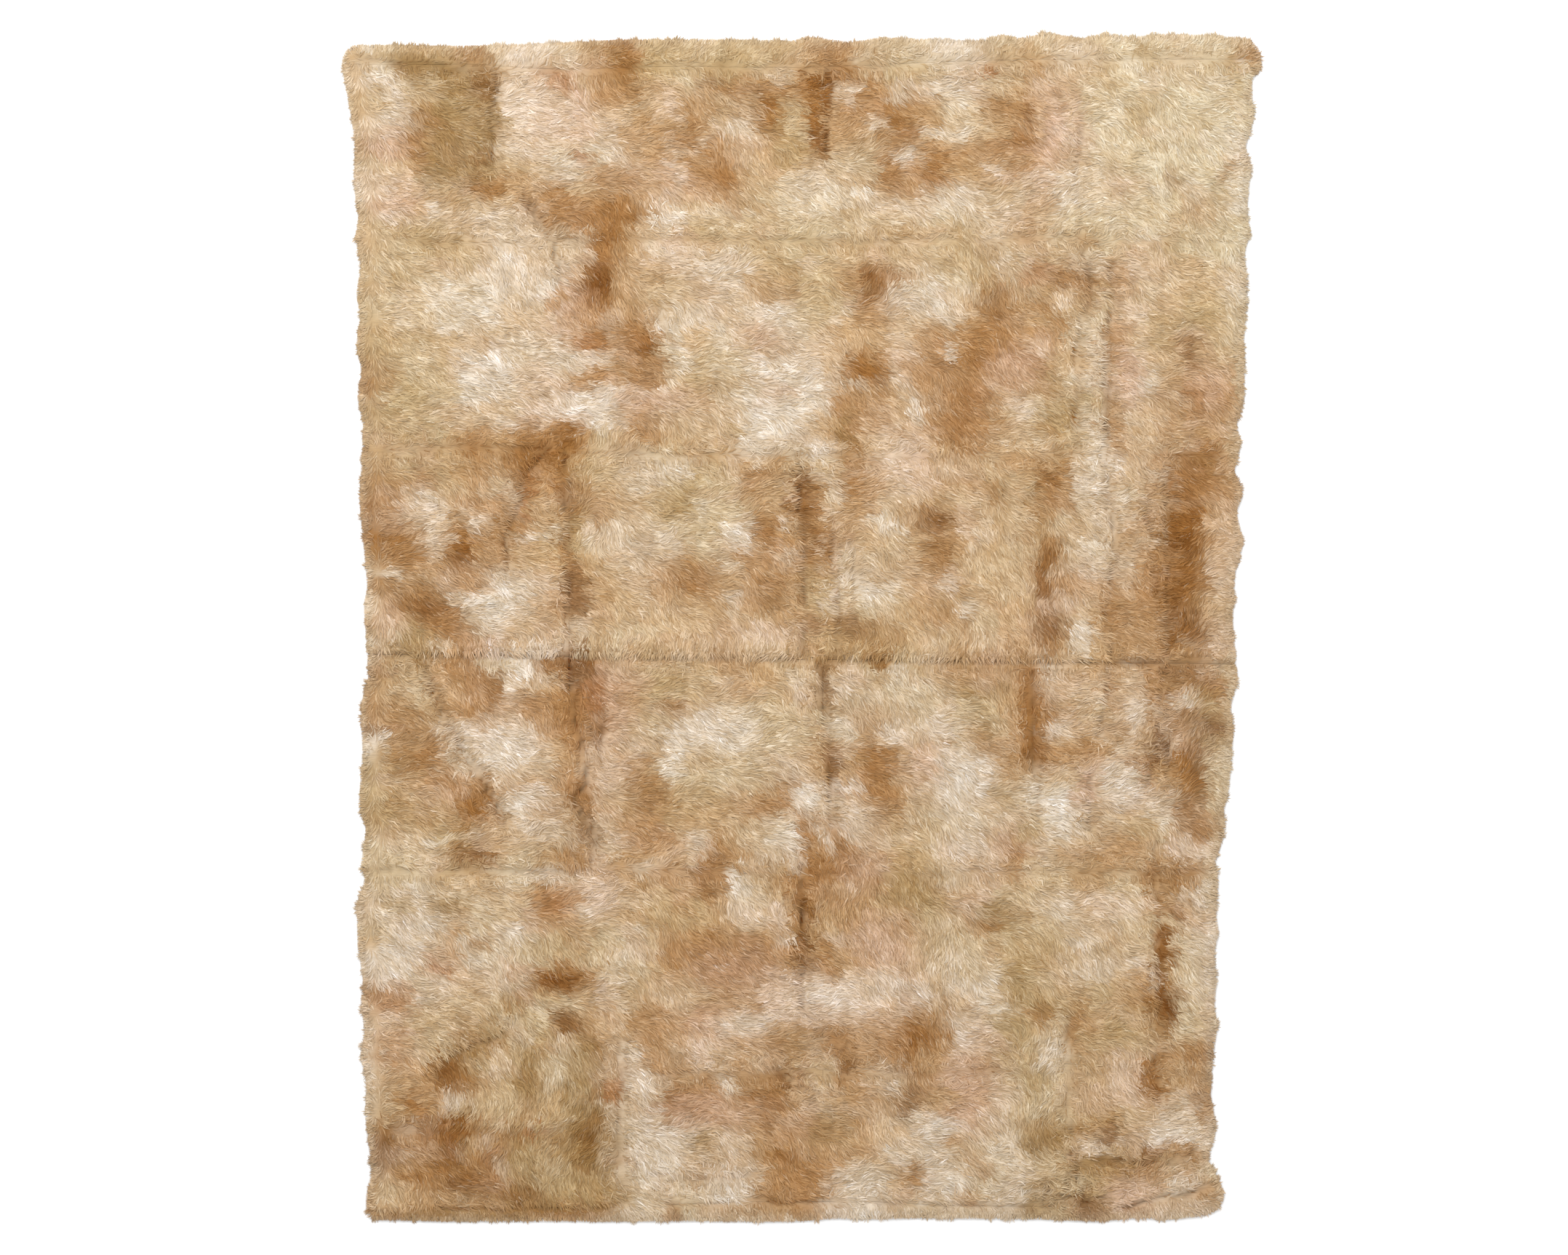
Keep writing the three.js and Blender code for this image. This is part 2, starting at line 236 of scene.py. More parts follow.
parting = {
    "reach": 20, "width": 1.5, "steepness": 1.5, "shade": 1.35, "shadeWidth": 0.6,
    "bendX": [(3.5, 30, 30, 21), (2.0, 11, 11, 22)],
    "bendY": [(3.0, 30, 30, 23), (2.0, 11, 11, 24)],
    "fading": [(0.7, 22, 22, 25)],
}


# Each line lowers the pile in a trough and lays painted shade along it
def partingMarks(x, y):
    drop, shade = np.zeros_like(x), np.zeros_like(x)
    wx, wy = layered(x, x, y, parting["bendX"]), layered(y, x, y, parting["bendY"])
    reach = parting["reach"]
    for depth, half, dark, points in partings:
        best = np.full(x.shape, far)
        for (ax, ay), (bx, by) in zip(points[:-1], points[1:]):
            near = np.nonzero((wx > min(ax, bx) - reach) & (wx < max(ax, bx) + reach)
                              & (wy > min(ay, by) - reach) & (wy < max(ay, by) + reach))[0]
            dx, dy = bx - ax, by - ay
            t = np.clip(((wx[near] - ax) * dx + (wy[near] - ay) * dy) / (dx * dx + dy * dy), 0, 1)
            best[near] = np.minimum(best[near], np.hypot(wx[near] - ax - t * dx, wy[near] - ay - t * dy))
        trough = np.clip(1 - best / (parting["width"] * half), 0, 1) ** parting["steepness"]
        drop = np.maximum(drop, depth * trough)
        dark = dark * layered(1, x, y, parting["fading"])
        line = np.clip(1 - best / (parting["shadeWidth"] * half), 0, 1)
        shade = np.maximum(shade, parting["shade"] * dark / 100 * line)
    return drop, shade


# The pile's height: the underfur is a lumpy slab that rolls down at its rim, and the locks lie on it
pile = {
    "height": 16.0, "lump": 2.4, "lumpShare": 0.6, "rimHeight": 6.5, "roll": 28.0,
    "relief": [(1.5, 34, 22, 31), (0.7, 13, 8, 32)],
}


# Two crossing waves, a wide one and a narrow one, which bend each other
def swell(x, y):
    big = np.sin(x / 47 + 1.3 * np.sin(y / 90)) * np.sin(y / 58 + 0.7)
    return big + 0.6 * np.sin(x / 23 - y / 31) * np.sin(y / 83 + x / 140)


def furHeight(x, y, drop):
    inside = np.clip(edgeDistance(x, y) / pile["roll"], 0, 1)
    share = np.sqrt(1 - (1 - inside) ** 2)
    lumps = layered(pile["lump"] * swell(x, y) * pile["lumpShare"], x, y, pile["relief"])
    return pile["rimHeight"] + (pile["height"] + lumps - drop - pile["rimHeight"]) * share


# Heights and painted shades are worked out once on a fine net and read from it after that
net = {"x": -800.0, "y": -1020.0, "step": 2.5, "across": 641, "up": 817, "lastCell": 1.001}
netX, netY = np.meshgrid(net["x"] + net["step"] * np.arange(net["across"]),
                         net["y"] + net["step"] * np.arange(net["up"]))
netDrop, netShade = partingMarks(netX.ravel(), netY.ravel())
netHeight = furHeight(netX.ravel(), netY.ravel(), netDrop)
print("pile height worked out")


def fromNet(values, x, y):
    u = np.clip((x - net["x"]) / net["step"], 0, net["across"] - net["lastCell"])
    v = np.clip((y - net["y"]) / net["step"], 0, net["up"] - net["lastCell"])
    i, j = u.astype(int), v.astype(int)
    fu, fv = u - i, v - j
    at = j * net["across"] + i
    low = values[at] * (1 - fu) + values[at + 1] * fu
    high = values[at + net["across"]] * (1 - fu) + values[at + net["across"] + 1] * fu
    return low * (1 - fv) + high * fv


def dropAt(x, y):
    return fromNet(netDrop, x, y)


# Dye: the tones, then where each one lies
tones = {
    "ivory": (233, 217, 191), "cream": (225, 206, 178), "straw": (225, 208, 172), "sand": (216, 193, 156),
    "peach": (227, 200, 170), "rose": (210, 174, 144), "tan": (204, 170, 128), "khaki": (194, 166, 122),
    "olive": (163, 130, 84), "fawn": (185, 143, 99), "brown": (159, 110, 59), "rust": (164, 102, 50),
    "umber": (122, 75, 28), "dark": (90, 54, 20),
}

# Wide washes of dye under the blotches: middle x, y, half sizes, tone, strength in percent, turn in degrees
washes = [
    (-740, 930, 30, 50, "ivory", 40), (-725, 865, 30, 30, "sand", 50), (-650, 945, 45, 22, "olive", 75),
    (-660, 925, 25, 12, "umber", 35), (-560, 965, 25, 20, "brown", 60), (-530, 930, 22, 28, "brown", 60),
    (-595, 925, 30, 22, "olive", 45), (-620, 830, 35, 80, "olive", 80), (-535, 860, 20, 60, "olive", 75),
    (-575, 760, 55, 35, "olive", 75), (-545, 745, 30, 18, "brown", 50), (-585, 880, 22, 40, "olive", 40),
    (-620, 850, 15, 40, "brown", 40), (-700, 900, 35, 25, "cream", 50), (-700, 850, 40, 25, "cream", 45),
    (-700, 815, 50, 16, "fawn", 60), (-745, 800, 15, 22, "brown", 60), (-710, 750, 50, 30, "peach", 45),
    (-470, 950, 40, 50, "cream", 42), (-430, 925, 30, 20, "brown", 50), (-470, 860, 45, 60, "cream", 60),
    (-410, 870, 40, 45, "peach", 60), (-350, 840, 35, 60, "cream", 55), (-340, 790, 35, 20, "cream", 45),
    (-460, 790, 50, 35, "sand", 50), (-315, 950, 45, 45, "brown", 82), (-300, 900, 60, 20, "brown", 35),
    (-250, 960, 35, 35, "khaki", 45), (-190, 965, 55, 30, "sand", 60), (-110, 925, 60, 22, "brown", 50),
    (-110, 970, 50, 25, "khaki", 45), (-30, 950, 40, 40, "fawn", 45), (-60, 870, 26, 45, "brown", 65),
    (-20, 830, 30, 60, "khaki", 55), (-20, 790, 35, 20, "olive", 45), (-190, 880, 60, 35, "tan", 45),
    (-205, 810, 35, 50, "fawn", 60), (-140, 775, 35, 45, "brown", 60), (-260, 850, 50, 60, "fawn", 50),
    (-265, 770, 50, 40, "fawn", 55), (-330, 750, 45, 30, "brown", 50), (-310, 690, 45, 65, "brown", 75),
    (-400, 705, 50, 35, "fawn", 55), (-385, 680, 35, 30, "brown", 45), (-335, 640, 30, 40, "brown", 70),
    (-350, 580, 35, 50, "brown", 75), (-345, 580, 20, 25, "umber", 60), (-350, 520, 40, 40, "brown", 70),
    (-300, 490, 60, 30, "brown", 55), (-265, 455, 35, 45, "brown", 65), (-240, 700, 30, 30, "cream", 55),
    (-240, 640, 50, 40, "peach", 45), (-260, 560, 55, 50, "tan", 50), (-180, 660, 60, 50, "sand", 40),
    (-150, 590, 60, 60, "cream", 50), (-170, 520, 50, 40, "cream", 45), (-140, 705, 60, 35, "sand", 45),
    (-60, 640, 70, 60, "sand", 50), (-60, 590, 30, 25, "tan", 35), (-60, 530, 50, 35, "cream", 50),
    (-20, 560, 30, 40, "khaki", 35), (-440, 640, 50, 60, "cream", 60), (-560, 670, 50, 45, "cream", 45),
    (-640, 645, 50, 35, "khaki", 45), (-610, 640, 30, 30, "fawn", 35), (-540, 590, 90, 60, "cream", 60),
    (-540, 540, 70, 60, "ivory", 40), (-650, 560, 50, 60, "sand", 50), (-720, 620, 40, 90, "sand", 60),
    (-440, 550, 40, 50, "cream", 40), (-405, 560, 25, 40, "rose", 45), (-560, 490, 60, 20, "khaki", 35),
    (-550, 430, 50, 60, "cream", 70), (-545, 430, 35, 45, "ivory", 50), (-660, 500, 60, 50, "sand", 45),
    (-700, 430, 50, 60, "khaki", 65), (-725, 420, 25, 60, "brown", 40), (-640, 370, 60, 60, "khaki", 50),
    (-460, 450, 50, 60, "cream", 30), (-420, 390, 50, 50, "rose", 50), (-350, 460, 50, 16, "peach", 60),
    (-360, 428, 45, 16, "rust", 50), (-290, 410, 50, 30, "peach", 45), (-360, 375, 70, 30, "cream", 52),
    (-280, 370, 50, 40, "peach", 40), (-270, 340, 50, 20, "tan", 45), (-200, 400, 60, 60, "sand", 45),
    (-170, 340, 70, 50, "khaki", 35), (-60, 370, 80, 70, "cream", 70), (-50, 450, 70, 60, "cream", 50),
    (-440, 300, 60, 50, "brown", 75), (-400, 320, 35, 35, "brown", 75), (-450, 290, 40, 30, "umber", 35),
    (-530, 310, 60, 45, "fawn", 60), (-395, 250, 18, 70, "brown", 65), (-440, 230, 30, 50, "fawn", 50),
    (-490, 190, 25, 60, "brown", 60), (-500, 150, 35, 50, "brown", 45), (-570, 250, 60, 50, "tan", 45),
    (-560, 215, 60, 20, "cream", 45), (-650, 280, 80, 50, "khaki", 60), (-640, 250, 26, 18, "olive", 55),
    (-720, 260, 40, 60, "fawn", 55), (-720, 170, 40, 60, "brown", 65), (-690, 150, 50, 40, "brown", 55),
    (-650, 200, 50, 35, "peach", 45), (-620, 150, 40, 40, "tan", 45), (-578, 140, 30, 50, "brown", 70),
    (-580, 120, 25, 30, "umber", 40), (-540, 180, 25, 25, "cream", 45), (-450, 140, 50, 40, "khaki", 45),
    (-380, 200, 35, 50, "brown", 50), (-385, 90, 22, 60, "brown", 60), (-320, 250, 50, 50, "sand", 50),
    (-330, 160, 35, 60, "cream", 50), (-270, 130, 60, 60, "sand", 50), (-210, 220, 60, 50, "khaki", 55),
    (-190, 170, 50, 50, "khaki", 35), (-130, 200, 50, 50, "sand", 40), (-120, 150, 30, 25, "cream", 50),
    (-90, 240, 35, 35, "brown", 50), (-60, 280, 60, 30, "tan", 40), (-60, 180, 40, 50, "brown", 50),
    (-70, 100, 70, 60, "fawn", 60), (-190, 80, 40, 35, "brown", 55), (-110, 50, 60, 50, "fawn", 50),
    (-5, 200, 28, 110, "brown", 65), (5, 110, 40, 60, "brown", 55), (-550, 60, 80, 50, "cream", 60),
    (-500, 30, 60, 50, "ivory", 28), (-430, 60, 40, 40, "peach", 50), (-640, 60, 60, 50, "brown", 45),
    (-620, 30, 40, 30, "umber", 45), (-700, 60, 50, 60, "tan", 45), (-300, 60, 60, 60, "tan", 40),
    (-230, 30, 70, 40, "sand", 35), (60, 970, 60, 30, "brown", 62), (30, 870, 30, 90, "brown", 75),
    (25, 850, 18, 70, "umber", 35), (100, 920, 35, 25, "brown", 45), (110, 860, 50, 60, "fawn", 45),
    (165, 860, 40, 55, "brown", 55), (150, 960, 50, 30, "sand", 60), (260, 960, 60, 40, "cream", 60),
    (220, 900, 50, 25, "cream", 45), (235, 860, 35, 25, "fawn", 35), (250, 820, 50, 20, "sand", 40),
    (220, 775, 45, 35, "brown", 65), (150, 760, 30, 45, "brown", 45), (180, 740, 50, 30, "fawn", 35),
    (60, 760, 60, 40, "cream", 45), (60, 700, 80, 50, "sand", 50), (250, 720, 50, 30, "cream", 50),
    (340, 940, 35, 25, "brown", 45), (355, 850, 45, 60, "brown", 50), (300, 870, 40, 50, "sand", 35),
    (310, 780, 60, 60, "fawn", 50), (360, 760, 50, 60, "rose", 45), (430, 870, 50, 60, "rose", 60),
    (430, 780, 50, 60, "rose", 45), (350, 690, 60, 50, "rose", 40), (400, 670, 40, 50, "fawn", 40),
    (620, 850, 150, 140, "straw", 85), (700, 830, 80, 120, "straw", 70), (540, 700, 80, 80, "straw", 50),
    (740, 960, 30, 20, "fawn", 60), (730, 790, 35, 35, "peach", 50), (672, 680, 42, 35, "fawn", 50),
    (720, 640, 50, 80, "straw", 50), (600, 620, 70, 60, "straw", 35), (500, 760, 40, 60, "peach", 35),
    (600, 950, 60, 30, "sand", 70), (30, 620, 70, 60, "khaki", 35), (80, 590, 50, 50, "tan", 50),
    (120, 565, 45, 45, "brown", 75), (200, 570, 60, 45, "cream", 55), (270, 600, 60, 60, "khaki", 30),
    (250, 545, 45, 35, "cream", 45), (330, 550, 45, 65, "brown", 55), (290, 500, 60, 30, "fawn", 45),
    (460, 590, 50, 40, "brown", 55), (400, 600, 30, 30, "fawn", 50), (420, 520, 50, 50, "fawn", 50),
    (445, 565, 16, 18, "ivory", 40), (540, 570, 30, 60, "rose", 50), (600, 540, 60, 60, "peach", 35),
    (680, 540, 60, 50, "khaki", 55), (650, 460, 30, 35, "brown", 40), (600, 500, 30, 30, "khaki", 50),
    (110, 435, 45, 30, "brown", 80), (105, 435, 30, 18, "umber", 30), (40, 440, 30, 50, "peach", 45),
    (100, 375, 50, 40, "brown", 45), (68, 340, 25, 70, "brown", 45), (175, 450, 40, 60, "peach", 35),
    (185, 370, 40, 40, "peach", 45), (180, 300, 60, 40, "peach", 35), (250, 430, 70, 60, "brown", 60),
    (285, 460, 40, 20, "brown", 45), (275, 360, 45, 45, "brown", 78), (250, 320, 60, 60, "fawn", 50),
    (340, 430, 60, 70, "fawn", 50), (400, 470, 50, 60, "fawn", 45), (370, 370, 40, 35, "peach", 45),
    (440, 355, 35, 40, "olive", 50), (470, 430, 35, 70, "sand", 55), (490, 330, 40, 40, "sand", 50),
    (530, 450, 35, 60, "rose", 45), (570, 350, 50, 50, "cream", 40), (525, 350, 18, 40, "fawn", 50),
    (560, 440, 40, 50, "peach", 35), (660, 390, 40, 50, "fawn", 65), (725, 400, 35, 70, "fawn", 60),
    (745, 385, 14, 40, "brown", 50), (620, 410, 30, 60, "fawn", 40), (660, 270, 60, 50, "brown", 70),
    (640, 150, 40, 90, "brown", 80), (640, 150, 25, 60, "umber", 34), (640, 40, 35, 80, "brown", 75),
    (590, 220, 30, 50, "brown", 45), (590, 80, 35, 60, "brown", 50), (710, 200, 45, 120, "fawn", 60),
    (715, 80, 40, 80, "tan", 50), (420, 245, 40, 45, "olive", 65), (415, 250, 25, 30, "brown", 45),
    (400, 130, 45, 80, "brown", 45), (412, 90, 28, 50, "umber", 62), (415, 15, 30, 35, "umber", 50),
    (490, 250, 45, 50, "cream", 55), (500, 150, 45, 70, "cream", 50), (470, 80, 40, 40, "cream", 40),
    (550, 170, 40, 50, "fawn", 45), (545, 60, 50, 45, "fawn", 55), (150, 250, 60, 45, "peach", 45),
    (240, 260, 50, 40, "tan", 45), (315, 230, 40, 30, "brown", 40), (215, 190, 45, 25, "brown", 60),
    (230, 140, 45, 60, "brown", 45), (150, 165, 50, 40, "sand", 45), (85, 230, 30, 60, "fawn", 68),
    (70, 140, 60, 50, "tan", 50), (120, 90, 60, 40, "cream", 28), (60, 60, 60, 50, "sand", 45),
    (300, 150, 70, 60, "tan", 50), (330, 280, 80, 40, "tan", 40), (250, 50, 70, 45, "fawn", 50),
    (340, 50, 60, 50, "tan", 45), (440, 60, 40, 50, "tan", 50), (-700, -20, 60, 30, "khaki", 50),
    (-650, -40, 50, 40, "olive", 50), (-700, -120, 50, 70, "brown", 55), (-730, -90, 25, 25, "umber", 45),
    (-640, -150, 50, 60, "fawn", 35), (-650, -220, 50, 50, "brown", 54),
    (-640, -205, 25, 25, "umber", 25), (-730, -200, 25, 50, "sand", 45),
    (-720, -270, 40, 60, "olive", 50), (-660, -300, 50, 60, "khaki", 45), (-600, -40, 50, 30, "tan", 50),
    (-560, -80, 60, 60, "fawn", 70), (-550, -110, 50, 50, "brown", 55), (-500, -60, 50, 50, "cream", 60),
    (-480, -100, 30, 50, "cream", 45), (-470, -30, 60, 30, "peach", 45), (-420, -70, 50, 30, "brown", 65),
    (-370, -60, 40, 30, "umber", 50), (-385, -130, 60, 60, "brown", 70),
    (-370, -150, 35, 60, "umber", 30), (-560, -190, 50, 35, "cream", 72),
    (-480, -200, 70, 60, "peach", 65), (-500, -220, 50, 40, "cream", 45),
    (-440, -270, 50, 14, "brown", 40), (-555, -300, 40, 45, "brown", 76),
    (-560, -310, 25, 25, "umber", 40), (-470, -310, 45, 50, "cream", 60),
    (-545, -385, 45, 25, "brown", 76), (-600, -350, 40, 60, "khaki", 40),
    (-390, -240, 30, 80, "brown", 60), (-375, -310, 35, 45, "umber", 35),
    (-330, -230, 50, 60, "rose", 50), (-320, -120, 40, 60, "rose", 50), (-340, -340, 50, 50, "tan", 40),
    (-400, -380, 60, 40, "brown", 40), (-250, -110, 60, 60, "khaki", 50),
    (-220, -140, 26, 26, "olive", 40), (-250, -60, 80, 30, "sand", 40),
    (-150, -180, 100, 45, "cream", 60), (-160, -190, 60, 30, "ivory", 30),
    (-60, -170, 60, 60, "sand", 50), (-120, -110, 50, 30, "tan", 45), (-265, -290, 45, 60, "brown", 45),
    (-200, -290, 60, 50, "khaki", 32), (-170, -240, 60, 40, "sand", 45), (-60, -270, 60, 50, "brown", 50),
    (-50, -340, 50, 50, "cream", 50), (0, -290, 30, 40, "cream", 50), (-140, -340, 60, 40, "tan", 45),
    (-270, -370, 50, 50, "fawn", 45), (-200, -430, 70, 50, "tan", 50), (-155, -410, 35, 50, "brown", 48),
    (-90, -450, 50, 50, "cream", 45), (-30, -430, 50, 60, "tan", 50), (-5, -480, 25, 110, "brown", 65),
    (-100, -550, 110, 50, "brown", 60), (-190, -560, 60, 50, "fawn", 50),
    (-260, -460, 60, 50, "khaki", 35), (-700, -400, 60, 60, "sand", 50),
    (-620, -460, 30, 30, "olive", 45), (-680, -470, 70, 50, "cream", 50),
    (-690, -540, 60, 60, "cream", 70), (-540, -450, 70, 50, "sand", 50), (-420, -460, 50, 45, "fawn", 70),
    (-420, -460, 35, 30, "rust", 35), (-360, -450, 50, 50, "peach", 55), (-560, -530, 60, 40, "sand", 45),
    (-500, -560, 80, 50, "cream", 55), (-400, -530, 60, 40, "khaki", 50),
    (-410, -590, 55, 35, "brown", 70), (-420, -590, 35, 22, "umber", 50),
    (-330, -560, 60, 60, "sand", 50), (-610, -560, 30, 40, "rose", 40), (-700, -620, 50, 30, "rust", 50),
    (-700, -700, 50, 60, "rose", 55), (-640, -640, 50, 40, "tan", 50), (-580, -650, 60, 35, "sand", 50),
    (-510, -640, 60, 16, "olive", 60, 45), (-480, -700, 50, 40, "sand", 40),
    (-390, -660, 45, 22, "brown", 65, -25), (-360, -690, 40, 20, "brown", 55, -40),
    (-560, -710, 60, 25, "olive", 50, 30), (-595, -745, 35, 30, "brown", 75),
    (-640, -720, 40, 40, "tan", 40), (-460, -750, 35, 60, "olive", 65), (-410, -730, 30, 40, "khaki", 40),
    (-370, -760, 35, 45, "olive", 60), (-320, -770, 30, 40, "brown", 60),
    (-530, -780, 60, 60, "khaki", 45), (-600, -850, 60, 70, "brown", 75),
    (-600, -870, 40, 50, "umber", 58), (-700, -870, 35, 50, "brown", 70),
    (-650, -810, 30, 30, "brown", 60), (-660, -880, 30, 30, "tan", 40), (-470, -860, 70, 30, "brown", 55),
    (-450, -820, 60, 40, "khaki", 45), (-360, -860, 55, 60, "olive", 75),
    (-350, -850, 35, 40, "umber", 50), (-570, -940, 60, 30, "umber", 50),
    (-450, -950, 60, 45, "olive", 70), (-360, -950, 60, 45, "olive", 70), (-660, -950, 60, 35, "tan", 45),
    (-520, -930, 40, 30, "brown", 50), (-560, -985, 200, 14, "brown", 55),
    (-380, -980, 80, 18, "brown", 50), (-290, -640, 40, 60, "khaki", 50),
    (-200, -640, 70, 50, "rose", 45), (-120, -650, 70, 45, "rose", 45), (-60, -630, 50, 50, "peach", 55),
    (0, -620, 50, 40, "peach", 60), (-250, -700, 60, 50, "fawn", 50), (-150, -710, 80, 40, "rose", 40),
    (-290, -740, 30, 50, "cream", 45), (-200, -800, 70, 45, "brown", 60),
    (-120, -790, 60, 50, "fawn", 50), (-50, -770, 50, 50, "brown", 36), (-20, -830, 60, 60, "fawn", 60),
    (-250, -880, 60, 90, "cream", 65), (-230, -850, 40, 40, "ivory", 30),
    (-180, -860, 30, 22, "khaki", 45), (-150, -880, 50, 50, "rose", 35),
    (-120, -940, 50, 45, "ivory", 60), (-50, -930, 60, 60, "brown", 45), (0, -920, 50, 70, "fawn", 55),
    (-220, -985, 25, 18, "brown", 50), (40, -80, 25, 50, "brown", 32), (100, -30, 80, 40, "khaki", 50),
    (145, -60, 30, 20, "olive", 50), (70, -130, 40, 50, "cream", 52), (180, -130, 60, 50, "cream", 45),
    (120, -230, 45, 90, "brown", 65), (45, -220, 20, 50, "brown", 50), (200, -230, 40, 60, "sand", 40),
    (40, -290, 50, 40, "cream", 45), (180, -310, 50, 60, "sand", 40), (260, -60, 50, 60, "fawn", 50),
    (290, -120, 50, 60, "khaki", 45), (340, -60, 50, 50, "rose", 35), (240, -170, 60, 40, "cream", 25),
    (320, -200, 60, 40, "fawn", 55), (270, -250, 60, 50, "cream", 70), (270, -250, 40, 30, "ivory", 35),
    (345, -270, 35, 45, "brown", 45, -35), (385, -130, 40, 80, "brown", 70),
    (390, -210, 35, 40, "brown", 60), (430, -100, 30, 60, "peach", 45), (450, -200, 60, 35, "fawn", 60),
    (425, -290, 55, 50, "cream", 75), (470, -330, 50, 40, "cream", 50), (535, -270, 55, 50, "peach", 70),
    (540, -250, 30, 40, "cream", 50), (480, -250, 30, 40, "rose", 45), (555, -130, 50, 60, "rose", 50),
    (510, -60, 50, 60, "fawn", 45), (600, -190, 40, 60, "brown", 55), (590, -30, 60, 60, "fawn", 55),
    (640, -90, 50, 40, "brown", 65), (650, -10, 60, 50, "brown", 65), (690, -160, 40, 50, "olive", 75),
    (700, -150, 25, 25, "umber", 40), (650, -240, 50, 60, "brown", 70), (650, -240, 30, 40, "umber", 30),
    (720, -80, 30, 60, "fawn", 50), (655, -330, 50, 35, "brown", 60), (725, -250, 20, 60, "sand", 55),
    (620, -310, 40, 30, "cream", 50), (660, -380, 50, 30, "peach", 50), (540, -340, 60, 40, "sand", 40),
    (530, -375, 60, 35, "fawn", 55), (350, -360, 60, 40, "rose", 45), (350, -390, 25, 40, "fawn", 50),
    (270, -340, 60, 50, "cream", 40), (280, -400, 60, 50, "rose", 35), (60, -360, 60, 50, "brown", 50),
    (60, -420, 90, 60, "fawn", 60), (190, -420, 60, 60, "khaki", 55), (220, -460, 60, 40, "olive", 30),
    (100, -480, 60, 40, "fawn", 34), (10, -450, 35, 60, "brown", 60), (130, -540, 70, 50, "rose", 60),
    (40, -550, 50, 40, "brown", 50), (330, -490, 45, 30, "olive", 65), (260, -540, 60, 50, "sand", 50),
    (260, -590, 60, 40, "cream", 40), (370, -560, 45, 60, "khaki", 55), (420, -470, 50, 50, "sand", 45),
    (470, -560, 50, 60, "cream", 45), (540, -450, 60, 50, "sand", 50), (600, -440, 30, 50, "fawn", 55),
    (640, -430, 50, 40, "brown", 55), (620, -520, 25, 50, "brown", 70), (610, -560, 22, 60, "brown", 60),
    (612, -635, 35, 50, "brown", 75), (612, -625, 25, 30, "umber", 55), (680, -530, 40, 80, "cream", 60),
    (670, -620, 40, 60, "sand", 50), (50, -620, 100, 40, "peach", 80), (60, -620, 70, 25, "ivory", 30),
    (180, -600, 60, 30, "peach", 50), (260, -640, 50, 40, "cream", 45), (200, -680, 60, 60, "brown", 65),
    (200, -710, 35, 45, "umber", 35), (120, -680, 50, 50, "rose", 45), (30, -690, 45, 30, "brown", 32),
    (60, -740, 60, 35, "brown", 45), (20, -760, 60, 50, "fawn", 32), (120, -740, 50, 50, "fawn", 45),
    (190, -790, 50, 30, "brown", 45), (280, -740, 60, 60, "rose", 50), (300, -800, 40, 90, "peach", 45),
    (240, -800, 40, 50, "fawn", 45), (380, -640, 60, 50, "khaki", 60), (370, -720, 60, 70, "khaki", 60),
    (380, -680, 40, 60, "olive", 35), (430, -700, 40, 50, "sand", 50), (470, -680, 35, 80, "tan", 50),
    (520, -640, 60, 60, "khaki", 45), (520, -700, 50, 50, "khaki", 45), (400, -855, 45, 40, "olive", 82),
    (400, -790, 60, 50, "sand", 45), (490, -790, 60, 60, "khaki", 40), (505, -850, 25, 40, "brown", 55),
    (550, -750, 60, 50, "peach", 50), (595, -760, 30, 50, "brown", 70), (640, -750, 40, 60, "fawn", 40),
    (675, -740, 25, 70, "brown", 60), (670, -810, 25, 30, "brown", 76), (560, -870, 40, 25, "brown", 55),
    (620, -850, 50, 30, "cream", 65), (590, -850, 60, 30, "peach", 35), (190, -860, 80, 50, "cream", 55),
    (170, -850, 40, 40, "ivory", 40), (250, -870, 50, 40, "fawn", 40), (50, -860, 70, 50, "fawn", 60),
    (20, -940, 60, 60, "fawn", 42), (150, -940, 30, 40, "brown", 35), (200, -920, 50, 30, "brown", 20),
    (240, -960, 60, 40, "cream", 50), (90, -970, 60, 40, "ivory", 50), (330, -920, 60, 60, "sand", 45),
    (400, -960, 60, 50, "olive", 68), (480, -965, 45, 40, "olive", 78), (480, -975, 32, 18, "umber", 60),
    (540, -920, 60, 25, "brown", 65), (480, -920, 50, 25, "olive", 25), (560, -960, 50, 30, "peach", 50),
    (640, -890, 60, 22, "brown", 45), (650, -960, 40, 25, "brown", 60), (700, -960, 30, 35, "fawn", 60),
    (620, -980, 80, 14, "tan", 50),
]
